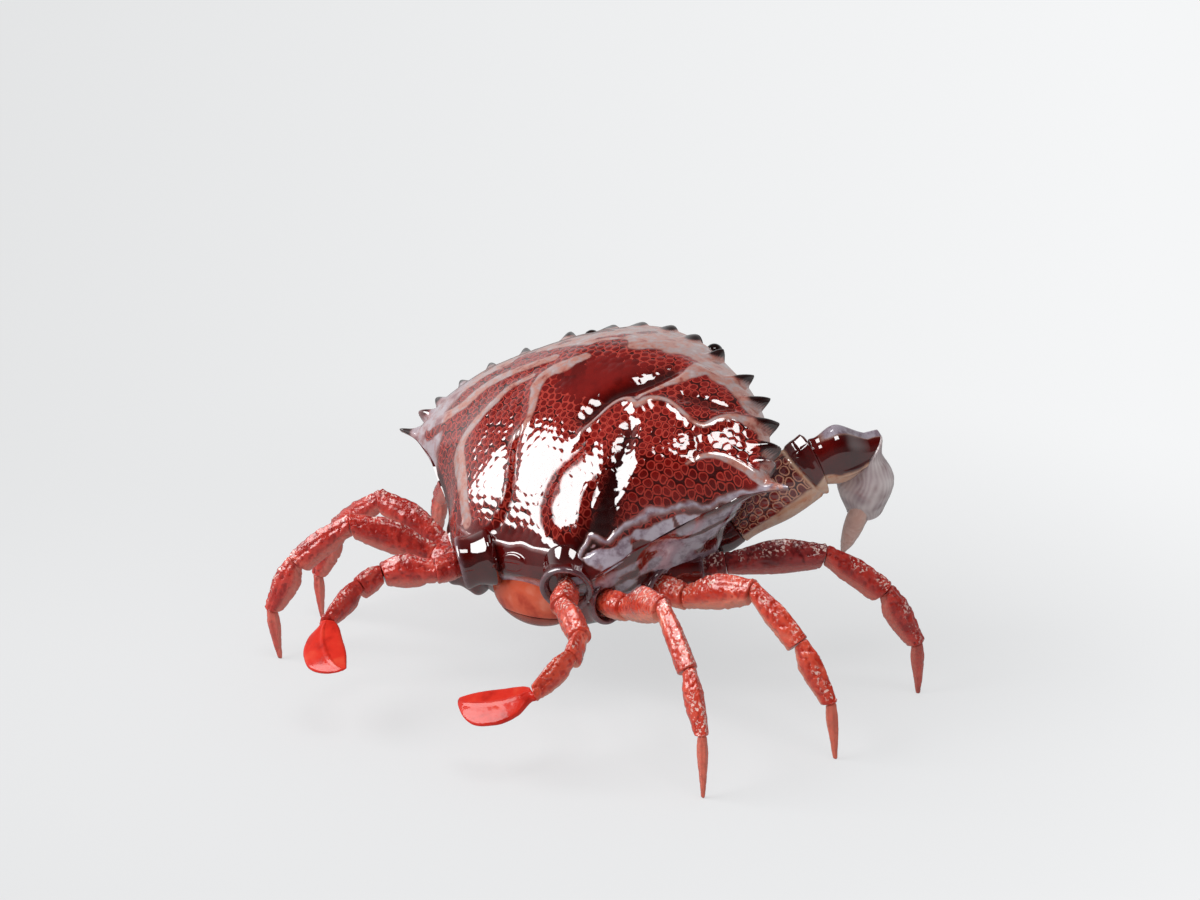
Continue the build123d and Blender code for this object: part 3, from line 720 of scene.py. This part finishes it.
def hood(name, side):
    """Collar of a socket: a profile turned about the socket's axis, with a rolled lip and a dark floor."""
    azimuth, elevation, rim, mouth = sockets[name][3:]
    azimuth, elevation = hood_turns.get((name, side), (azimuth, elevation))
    centre, axis = socket_place(name, side), heading(azimuth, elevation, side)
    across = unit(np.cross(axis, [0, 0, 1]))
    over = np.cross(across, axis)
    outline = [(-back, rim * wide) for back, wide in hood_profile]
    outline += [(-mouth_depth * 0.5, mouth * 0.95), (-mouth_depth, mouth * 0.9), (-mouth_depth, 0.2)]
    path = rounded(outline, 3)
    turn = full_turn(96)
    along, radius = path[:, :1], np.maximum(path[:, 1:], 0.05)
    radius = radius * (1 + 0.035 * np.sin(2 * turn + side) * smooth_step(-1, -8, along))
    grid = centre + along[..., None] * axis + radius[..., None] * (
        np.cos(turn)[..., None] * over + np.sin(turn)[..., None] * across)
    rolled_lip = bell(along + 0.4, 1.6) + 0 * turn
    one = np.ones_like(rolled_lip)
    surface(side_label(side) + name + "_collar", grid, lustre, "lustre_glaze", "shell", wrap=True,
            pale=0.22 * rolled_lip, gap=one, depth=0.5 * one, number=0 * one, cool=one)


# Limb pieces: share along, height share, thickness share, lift share
hip_shares = [(0, 0.82, 0.82, 0), (0.6, 1, 1, 0), (1, 0.9, 0.9, 0)]
merus_shares = [(0, 0.66, 0.8, 0), (0.55, 1, 1, 0.03), (1, 0.68, 0.92, 0)]
claw_merus_shares = [(0, 0.5, 0.68, 0), (0.5, 0.9, 0.98, 0.01), (1, 1, 1, 0)]
carpus_shares = [(0, 0.66, 0.8, 0.03), (0.5, 0.96, 0.95, 0.03), (1, 0.94, 1, 0)]
claw_carpus_shares = [(0, 0.84, 0.86, 0), (0.45, 1, 1, 0.02), (1, 0.62, 0.68, 0)]
propodus_shares = [(0, 0.6, 0.72, 0.06), (0.35, 0.97, 1, 0.02), (1, 0.58, 0.72, 0)]
tip_shares = [(0, 0.86, 0.86, 0.014), (0.25, 1, 1, 0.012), (0.65, 0.68, 0.72, 0.012), (1, 0.34, 0.36, 0)]
paddle_shares = [(0, 0.36, 1.1, 0), (0.16, 0.8, 1.1, -0.08), (0.45, 1.02, 1, -0.14),
                 (0.75, 0.9, 0.9, -0.12), (0.92, 0.5, 0.6, -0.05), (1, 0.14, 0.24, 0.02)]
palm_shares = [(0, 0.5, 0.56, 0), (0.45, 1, 1, 0), (1, 0.58, 0.6, 0)]
finger_shares = [(0, 1, 1, 0), (0.35, 0.98, 1, 0.03), (0.7, 0.7, 0.76, 0.02), (1, 0.24, 0.24, -0.03)]

# Height, thickness and shares of each piece
leg_sizes = {"hip": (14.8, 14.8, hip_shares), "merus": (18.0, 12.2, merus_shares),
             "carpus": (14.5, 9.9, carpus_shares), "propodus": (14.5, 9.9, propodus_shares),
             "tip": (7.0, 4.8, tip_shares), "paddle": (21.3, 4.6, paddle_shares)}
claw_sizes = {"hip": (17.0, 17.0, hip_shares), "merus": (33.0, 22.0, claw_merus_shares),
              "carpus": (29.0, 22.0, claw_carpus_shares), "palm": (36.0, 31.0, palm_shares),
              "finger": (13.0, 11.0, finger_shares)}

# Pose: lengths, then compass angle and rise of each piece, right side and left side
poses = {
    "third_leg": ((15.5, 48.0, 37.5, 32.0), [(-21, 9), (-32, 20), (-32, -35), (-32, -58), (-32, -86)],
                  [(3, 4), (-32, 20), (-32, -37), (-32, -61), (-32, -96)]),
    "second_leg": ((15.0, 45.0, 36.0, 33.5), [(3, -8), (-5, 18), (-5, -36), (-5, -52), (-5, -82)],
                   [(-4, -23), (-9, 25), (-9, -37), (-9, -63), (-9, -93)]),
    "first_leg": ((12.0, 52.0, 37.5, 35.0), [(38, 15), (35, 5), (35, -33), (35, -57), (35, -86)],
                  [(34, 8), (41, -5), (41, -29), (41, -57), (41, -100)]),
    "swim_leg": ((15.5, 29.0, 15.0, 28.5), [(-60, -9), (-36, -12), (-73, -25), (-99, -22), (-161, -13)],
                 [(-70, -4), (-27, -6), (-71, -20), (-89, -22), (-142, -16)]),
    "claw": ((14.0, 55.0, 29.0, 38.0), [(40, 30), (36, 42), (55, 7), (115, -76), (165, -60)],
             [(40, 20), (63, -9), (114, -11), (138, -36), (167, -42)]),
}
# Length of the last piece where it doesn't reach the table, and the way of the paddles' edge
last_lengths = {"swim_leg": 40.6, "claw": 30.0}
paddle_edge = (135, 23)


def upper_side(azimuth, elevation, side):
    """Direction square to a limb piece, on its upper side."""
    return heading(azimuth, elevation + 90, side)


def tube(start, end, up, height, thickness, rows, root_seam=None, end_seam=None, gap=seam_gap,
         size=(90, 88)):
    """Grid of a limb piece: ovals along the line from start to end, cut at both ends by a seam plane. Each
    line along the piece runs from where it meets the first plane to where it meets the second, and the rims
    are rounded. Also gives the share along, the turn about the axis, the outward direction and how far each
    point is from the rims, up to 1 at the end of their rounding."""
    rows = np.asarray(rows, float)
    length = np.linalg.norm(end - start)
    way = (end - start) / length
    up = unit(up - way * up.dot(way))
    across = np.cross(way, up)
    turn = full_turn(size[1])
    c, s = np.cos(turn)[..., None] * up, np.sin(turn)[..., None] * across

    def plane_place(normal, tall, thick, where, shift):
        if normal is None:
            return where + 0 * turn
        offset = c * height * tall / 2 + s * thickness * thick / 2
        return where + shift - (offset @ normal) / way.dot(normal)

    first = plane_place(root_seam, rows[0, 1], rows[0, 2], 0, gap / 2)
    last = plane_place(end_seam, rows[-1, 1], rows[-1, 2], length, -gap / 2)
    t = np.linspace(0, 1, size[0])[:, None]
    t = t - 0.09 * np.sin(2 * math.pi * t)
    place = first + (last - first) * t
    share = np.clip(place / length, 0, 1)
    tall, thick, lift = [smooth_table(rows[:, [0, k]], share) for k in (1, 2, 3)]
    edge = np.clip(np.minimum(place - first, last - place) / round_over, 0, 1)
    shrink = 0.8 * round_over * (1 - np.sqrt(1 - (1 - edge) ** 2))
    radial = c * (tall * height / 2 - shrink)[..., None] + s * (thick * thickness / 2 - shrink)[..., None]
    grid = start + place[..., None] * way + (lift * length)[..., None] * up + radial
    outward = unit(c / thickness + s / height + 0 * grid)
    return grid, share, turn + 0 * share, outward, edge


def limb_line(name, side):
    """Seat, joints and end of one limb from its lengths and angles, the angles, and the seam planes between
    its pieces, each square to the mean way of the two it parts."""
    lengths, right, left = poses[name]
    angles = right if side > 0 else left
    here, axis = socket_place(name, side), heading(*sockets[name][3:5], side)
    points = [here - axis * (mouth_depth - seat_gap)]
    for length, (azimuth, elevation) in zip(lengths, angles):
        here = here + heading(azimuth, elevation, side) * length
        points.append(here)
    last = heading(*angles[-1], side)
    points.append(here + last * (last_lengths.get(name) or -here[2] / last[2]))
    ways = [unit(b - a) for a, b in zip(points, points[1:])]
    return points, angles, ways, [axis] + [unit(a + b) for a, b in zip(ways, ways[1:])] + [None]


def pebbled(grid, outward, edge, strength, seed):
    """Pebbled casting skin: pits and lumps of two sizes pushed along the outward direction, fading at the
    rims. Also gives how far each place lies in a pit."""
    coarse = lumps(grid, lump_size, seed)
    fine = lumps(grid, grain_size, seed + 1)
    pit = smooth_step(0.05, 0.6, lumps(grid, pit_size, seed + 2))
    relief = lump_height * coarse + grain_height * fine - pit_depth * pit
    relief = relief * strength * smooth_step(0, 1, edge)
    return grid + relief[..., None] * outward, np.maximum(pit, smooth_step(0.0, -0.6, coarse) * 0.6)


def top_line(turn, wide):
    """Bell across the line along the top of a limb piece."""
    return bell(np.abs(np.mod(turn + math.pi, 2 * math.pi) - math.pi), wide)


def leg_glaze(name, side, piece):
    """Coral on the right and crimson on the left, with a dark right first leg and red paddles."""
    if piece == "paddle":
        return red
    if (name, side) == ("first_leg", 1):
        return maroon if piece in ("hip", "merus") else crimson
    return coral if side > 0 else crimson


def leg(name, side):
    """One walking or swimming leg: five pieces with cut seams between them. The thick ones have keels, a tip
    is fluted, and a paddle has a rim and a rib."""
    points, angles, ways, seams = limb_line(name, side)
    last = "paddle" if name == "swim_leg" else "tip"
    for k, piece in enumerate(["hip", "merus", "carpus", "propodus", last]):
        height, thickness, rows = leg_sizes[piece]
        up = heading(*paddle_edge, side) if piece == "paddle" else upper_side(*angles[k], side)
        end_seam = np.array([0, 0, -1.0]) if piece == "tip" else seams[k + 1]
        grid, share, turn, outward, edge = tube(points[k], points[k + 1], up, height, thickness, rows,
                                                seams[k], end_seam, 0 if k == 0 else seam_gap)
        top = np.cos(turn)
        strength, thin = 1.0, 1.0
        if piece == "tip":
            form = 0.25 * np.cos(turn * 6) * smooth_step(0, 0.2, share) * (1 - share)
            strength, thin = 0.35, 0.6
        elif piece == "paddle":
            rib = bell(top - 0.1, 0.07) * smooth_step(1, 0.8, share)
            form = (0.5 * bell(np.abs(top) - 0.86, 0.12) + 0.8 * rib) * smooth_step(0, 0.15, share)
            strength = 0.15
        else:
            keels = 0.8 * top_line(turn, 0.2) + 0.5 * bell(np.abs(turn - math.pi), 0.25)
            form = (keels - 0.5 * bell(top - 0.55, 0.2)) * smooth_step(0, 1, edge)
        grid, pits = pebbled(grid + form[..., None] * outward, outward, edge, strength, 11 + k)
        grid[..., 2] = np.maximum(grid[..., 2], 0)
        # Mask for the painted highlights: the upper side, turned a little to one side, in patches
        crest = smooth_step(0.45, 0.9, np.cos(turn - 0.3)) * smooth_step(0, 1, edge) * (piece != "tip")
        crest = 0.85 * crest * smooth_step(-0.4, 0.3, lumps(grid, 7.0, 41 + k))
        slot = {"paddle": "red_glaze", "tip": "matte_bisque", "hip": "red_glaze"}.get(piece, "coral_glaze")
        node = side_label(side) + name + "_" + piece
        surface(node, grid, leg_glaze(name, side, piece), slot, node, wrap=True,
                glaze=thin * smooth_step(-0.75, -0.1, top), pits=pits, crest=crest)


def claw_merus(share, turn, drift, inside, near):
    """Pebbles between a pale keel on top and a pale lower side, and a plain dark band with a cream line near
    the end. Gives the relief, how pale it is, the pebble gap and how deep its glaze pools."""
    ridge = top_line(turn, 0.22)
    low = smooth_step(-0.28, -0.42, np.cos(turn) + 0.1 * drift)
    band = smooth_step(0.84, 0.88, share + 0.02 * drift)
    zone = (1 - low) * (1 - band) * (1 - smooth_step(0.25, 0.6, ridge))
    pale = np.maximum(smooth_step(0.4, 0.7, ridge), low) * (1 - band * (1 - low))
    relief = 1.6 * ridge + 0.35 * zone * (1 - 3.2 * near ** 2)
    relief = relief + 0.5 * band * smooth_step(1.02, 0.94, share) - 0.7 * bell(share - 0.86, 0.02)
    pale = np.maximum(pale, bell(share - 0.85, 0.018))
    return relief, pale, pebble_gap(inside, near) + 1 - zone, 0.6 * band


def claw_carpus(share, turn, drift):
    """A pale lilac crest over dark glaze, which is a painted reflection of the pale surround along the top,
    a swollen back and a pale lower side below a step. Gives the relief, how pale it is, how deep its glaze
    pools and the painted crest highlight."""
    top = np.cos(turn)
    pale_side = smooth_step(-0.35, -0.5, top + 0.12 * drift)
    # Painted reflection: a pale lilac line along the top, where the pale surround would mirror
    crest = smooth_step(0.86, 0.93, top + 0.05 * drift) * smooth_step(0.02, 0.2, share)
    relief = 1.6 * top_line(turn, 0.22) + 1.5 * bell(top + 0.4, 0.16) * smooth_step(0.1, 0.4, share)
    relief = relief + 2.4 * bell(share - 0.35, 0.3) * smooth_step(-0.2, 0.6, top)
    return relief, np.maximum(0.85 * crest, pale_side), 0.55 * (1 - pale_side), crest


def claw_palm(grid, share, turn):
    """Brushed stripes that swirl round the hand, over a softly lumpy form. Gives the relief and how pale it
    is."""
    swirl = np.sin(turn * 30 + 6 * np.cos(share * 4) + 5 * lumps(grid, 7.0, 4))
    pale = np.clip(0.4 + 0.6 * lumps(grid, 6.0, 6) + 0.13 * swirl, 0, 1)
    return 0.1 * swirl + 0.8 * lumps(grid, 11.0, 8), pale


def claw(side):
    """One claw: hip, merus and carpus under dark glaze, and a hand of palm and two fingers."""
    points, angles, ways, seams = limb_line("claw", side)
    label = side_label(side) + "claw"
    for k, piece in enumerate(["hip", "merus", "carpus", "palm"]):
        height, thickness, rows = claw_sizes[piece]
        up = upper_side(*angles[k], side)
        end_seam = ways[k] if piece == "palm" else seams[k + 1]
        grid, share, turn, outward, edge = tube(points[k], points[k + 1], up, height, thickness, rows,
                                                seams[k], end_seam, 0 if k == 0 else seam_gap, (130, 120))
        around = (turn - math.pi) * height * 0.42
        along = share * np.linalg.norm(points[k + 1] - points[k])
        inside, near, number = cells(along, around, claw_cell_size, k)
        drift = lumps(grid, 6.0, 5)
        none = 0 * share
        relief, pale, gap, depth, cool = 1.6 * top_line(turn, 0.22), none, none + 1, none + 0.4, none
        if piece == "merus":
            relief, pale, gap, depth = claw_merus(share, turn, drift, inside, near)
        elif piece == "carpus":
            relief, pale, depth, cool = claw_carpus(share, turn, drift)
        elif piece == "palm":
            relief, pale = claw_palm(grid, share, turn)
        grid = grid + (relief * smooth_step(0, 1, edge))[..., None] * outward
        node = label + "_" + piece
        surface(node, grid, hand_glaze if piece == "palm" else claw_lustre,
                "red_glaze" if piece == "hip" else "coral_glaze", node, wrap=True, pale=pale, gap=gap,
                depth=depth, number=number * (piece == "merus"), cool=cool)
        if piece == "carpus":
            carpus_spine(label, points[k + 1], ways[k], up, height)
    hand(label, points, upper_side(*angles[3], side))


def carpus_spine(label, end, way, up, height):
    """Hooked spine at the upper far corner of a claw's carpus: a cone on a bent line, with a round end."""
    root = end + up * height * 0.3 - way * spine_length * 0.75
    share = np.linspace(0, 1, 40)[:, None]
    turn = full_turn(48)
    axis = unit(way + up * 0.1)
    over = unit(up - axis * up.dot(axis))
    across = np.cross(axis, over)
    round_end = np.minimum(1, np.sqrt(np.maximum(1.0002 - share, 0) / 0.06))
    radius = spine_radius * (1 - 0.82 * share ** 1.3) * round_end
    centre = root + (share * spine_length * 1.1)[..., None] * axis
    centre = centre - (spine_hook * share ** 2)[..., None] * over
    grid = centre + (radius * np.cos(turn))[..., None] * over + (radius * np.sin(turn))[..., None] * across
    none = 0 * share + 0 * turn
    surface(label + "_carpus_spine", grid, lustre, "coral_glaze", label + "_carpus", wrap=True, pale=none,
            gap=none + 1, depth=none + 0.6, number=none)


def hand(label, points, up):
    """Two fingers that taper to points, the fixed one rooted in the palm and the other seated on its end."""
    palm_end, tip = points[4], points[5]
    way = unit(palm_end - points[3])
    height, thickness, rows = claw_sizes["finger"]
    palm_height = claw_sizes["palm"][0]
    low, high = palm_height * 0.24 * up, palm_height * 0.2 * up
    fixed = tube(palm_end - low - way * height, tip - low * 0.5, -up, height, thickness, rows)
    moving = tube(palm_end + high, tip + high * 0.6, up, height, thickness, rows, way, None, 2 * seam_gap)
    for suffix, node, (grid, share, turn, outward, edge) in (("_fixed_finger", "_palm", fixed),
                                                             ("_finger", "_finger", moving)):
        grid, pits = pebbled(grid, outward, edge, 0.25, 31)
        surface(label + suffix, grid, finger_glaze, "matte_bisque", label + node, wrap=True,
                glaze=0.3 + 0.5 * share, pits=pits, crest=0 * pits)


# Tail flap and face: places in the crab's frame or, for the eyes, in the body's
abdomen_centre, abdomen_radii = np.array([0, -22.0, 57.0]), np.array([27.0, 16.0, 20.0])
abdomen_seam_height = 46.0
eye_radius = 4.8
eye_across_share = 0.36
eye_ahead, eye_drop = 1.5, 5.0
stalk_length = 8.0
mouth_plate_radii = np.array([8.2, 7.6, 18.4])
mouth_plate_place = (10.0, 143.0, -24.0)
mouth_plate_lean = 12.0


def egg(radii, low=-math.pi / 2, high=math.pi / 2, size=(60, 72)):
    """Oval body about the origin, or a part of it: a turn about Z times a rise from low to high. Also gives
    the rise of each point."""
    rise = np.linspace(low, high, size[0])[:, None]
    turn = full_turn(size[1])
    ball = np.stack([np.cos(rise) * np.cos(turn), np.cos(rise) * np.sin(turn), np.sin(rise) + 0 * turn], -1)
    return ball * radii, rise + 0 * turn


def tail_flap():
    """The abdomen under the rear edge, in two plates of one egg with a groove where they meet."""
    seam_rise = math.asin((abdomen_seam_height - abdomen_centre[2]) / abdomen_radii[2])
    for name, low, high, finish in (("abdomen_lower", -math.pi / 2, seam_rise - 0.012, brown),
                                    ("abdomen_upper", seam_rise, 1.2, rust)):
        plate, rise = egg(abdomen_radii, low, high, (40, 90))
        groove = 0.03 * (1 - np.minimum(1, np.abs(rise - seam_rise) / 0.05)) ** 2
        plate = abdomen_centre + plate * (1 - groove)[..., None]
        surface(name, plate, finish, "brown_glaze", name, wrap=True)


def face():
    """Eyes on stalks and the two mouth plates, on the side turned away from the camera. An eye is a ball
    whose rear part is drawn out into its stalk."""
    for side in (-1, 1):
        across = eye_across_share * half_width
        centre = np.array([side * across, margins(np.array(across))[1] + eye_ahead, -eye_drop])
        ball, rise = egg((eye_radius, eye_radius, eye_radius))
        stalk = smooth_step(-0.2, -0.9, np.sin(rise))
        ball = ball * (1 - 0.38 * stalk)[..., None]
        ball[..., 2] = ball[..., 2] - stalk * stalk_length
        node = side_label(side) + "eye"
        surface(node, from_body(centre + ball[..., [0, 2, 1]]), black, "eye_glaze", node, wrap=True)
        plate, rise = egg(mouth_plate_radii)
        plate = plate @ turn_about_y(mouth_plate_lean * side).T + np.array([side, 1, 1]) * mouth_plate_place
        one = np.ones_like(rise)
        node = side_label(side) + "maxilliped"
        surface(node, from_body(plate), maroon, "coral_glaze", node, wrap=True, glaze=one, pits=0 * one,
                crest=0 * one)


carapace()
underside()
for limb_name in sockets:
    for limb_side in (-1, 1):
        hood(limb_name, limb_side)
for limb_name in ("first_leg", "second_leg", "third_leg", "swim_leg"):
    for limb_side in (-1, 1):
        leg(limb_name, limb_side)
for limb_side in (-1, 1):
    claw(limb_side)
tail_flap()
face()

# Camera: where the photograph was taken from, in the crab's frame
camera_elevation = math.radians(18.0)
camera_turn = math.radians(35.21)
camera_distance = 1688.9
aim_across, aim_ahead = 21.0, 396.2
focal_pixels = 2400.0
image_width_pixels = 1200.0
view_right = np.array([math.cos(camera_turn), math.sin(camera_turn), 0])
view_ahead = np.array([-math.sin(camera_turn), math.cos(camera_turn), 0])
to_camera = np.array([0, 0, math.sin(camera_elevation)]) - math.cos(camera_elevation) * view_ahead
camera_place = aim_across * view_right + aim_ahead * view_ahead + camera_distance * to_camera
camera = bpy.data.cameras.new("camera")
camera.sensor_width = 36.0
camera.lens = focal_pixels * camera.sensor_width / image_width_pixels
camera.clip_end = 60.0
camera_object = bpy.data.objects.new("camera", camera)
camera_object.location = (camera_place - frame_origin) * MM
camera_object.rotation_mode = "QUATERNION"
camera_object.rotation_quaternion = Vector(-to_camera).to_track_quat("-Z", "Y")
bpy.context.scene.collection.objects.link(camera_object)
bpy.context.scene.camera = camera_object
bpy.context.scene.view_settings.view_transform = "Standard"


# Stage, in metres: a pale floor that keeps the object's shadow, two softboxes and a studio surround
light_aim = Vector((0, 0, 0.1))
floor_reach = 14.0
white_level = "#FDFEFF"
eased = {"interpolation_type": "SMOOTHSTEP"}


def floor():
    """White sweep: it takes the object's shadow near it and is evenly pale farther out, beyond the object a
    little brighter towards the right. Reflections see it dimmer."""
    made, tree, place = new_material("pale_floor")
    path = add(tree, "LightPath")
    far = add(tree, "VectorMath", {"operation": "LENGTH"}, {0: place})
    blend = add(tree, "MapRange", {**eased, "From Min": 0.15, "From Max": 0.6, "To Min": 0.66},
                {"Value": (far, "Value")})
    across = add(tree, "VectorMath", {"operation": "DOT_PRODUCT", 1: list(view_right)}, {0: place})
    away = add(tree, "VectorMath", {"operation": "DOT_PRODUCT", 1: list(view_ahead)}, {0: place})
    reach = add(tree, "Math", {"operation": "ADD", 1: 1.6}, {0: (away, "Value")})
    ratio = add(tree, "Math", {"operation": "DIVIDE"}, {0: (across, "Value"), 1: reach})
    ahead = add(tree, "MapRange", {**eased, "From Min": -1.3, "From Max": -0.5}, {"Value": (away, "Value")})
    slant = add(tree, "Math", {"operation": "MULTIPLY"}, {0: ratio, 1: ahead})
    level = add(tree, "MapRange", {"From Min": -0.25, "From Max": 0.2, "To Min": 0.78, "To Max": 0.93},
                {"Value": slant})
    white = add(tree, "BsdfDiffuse", {"Color": "#D8D8D9"})
    strength = add(tree, "Mix", {"data_type": "FLOAT", mix_high: 0.26},
                   {0: (path, "Is Glossy Ray"), mix_low: level})
    glow = add(tree, "Emission", {"Color": white_level}, {"Strength": strength})
    seen = add(tree, "Math", {"operation": "MULTIPLY"}, {0: blend, 1: (path, "Is Camera Ray")})
    factor = add(tree, "Math", {"operation": "MAXIMUM"}, {0: seen, 1: (path, "Is Glossy Ray")})
    both = add(tree, "MixShader", {}, {0: factor, 1: white, 2: glow})
    add(tree, "OutputMaterial", {}, {"Surface": both})
    mesh = bpy.data.meshes.new("floor")
    corners = [(x * floor_reach, y * floor_reach, 0) for x, y in ((-1, -1), (1, -1), (1, 1), (-1, 1))]
    mesh.from_pydata(corners, [], [(0, 1, 2, 3)])
    mesh.materials.append(made)
    made_floor = bpy.data.objects.new("floor", mesh)
    bpy.context.scene.collection.objects.link(made_floor)


def softbox(name, direction, distance, size, brightness):
    """Area light that looks at the object; its power gives the brightness of its face."""
    light = bpy.data.lights.new(name, "AREA")
    light.shape = "RECTANGLE"
    light.size, light.size_y = size
    light.energy = brightness * math.pi * size[0] * size[1]
    made = bpy.data.objects.new(name, light)
    way = Vector(direction).normalized()
    made.location = light_aim + way * distance
    made.rotation_mode = "QUATERNION"
    made.rotation_quaternion = way.to_track_quat("Z", "Y")
    bpy.context.scene.collection.objects.link(made)


def studio():
    """Surround: pale behind the object and near the horizon, darker overhead and on the camera's side."""
    made = bpy.data.worlds.new("studio")
    tree = new_tree(made)
    way = add(tree, "TexCoord"), "Generated"
    path = add(tree, "LightPath")
    rise = add(tree, "SeparateXYZ", {}, {0: way}), "Z"
    height = add(tree, "MapRange",
                 {**eased, "From Min": 0.25, "From Max": 0.75, "To Min": 0.52, "To Max": 0.05},
                 {"Value": rise})
    behind = add(tree, "VectorMath", {"operation": "DOT_PRODUCT", 1: list(view_ahead)}, {0: way})
    side = add(tree, "MapRange", {**eased, "From Min": -0.5, "From Max": 0.35, "To Min": 0.1},
               {"Value": (behind, "Value")})
    level = add(tree, "Math", {"operation": "MULTIPLY"}, {0: height, 1: side})
    ambient = add(tree, "Mix", {"data_type": "FLOAT", mix_high: 0.52},
                  {0: (path, "Is Diffuse Ray"), mix_low: level})
    strength = add(tree, "Mix", {"data_type": "FLOAT", mix_high: 0.87},
                   {0: (path, "Is Camera Ray"), mix_low: ambient})
    glow = add(tree, "Background", {"Color": white_level}, {"Strength": strength})
    add(tree, "OutputWorld", {}, {"Surface": glow})
    bpy.context.scene.world = made


floor()
softbox("key_softbox", (-0.56, -0.58, 0.59), 1.3, (1.0, 0.85), 5.5)
softbox("top_softbox", (0.21, -0.17, 0.95), 1.3, (0.5, 0.35), 5.0)
studio()
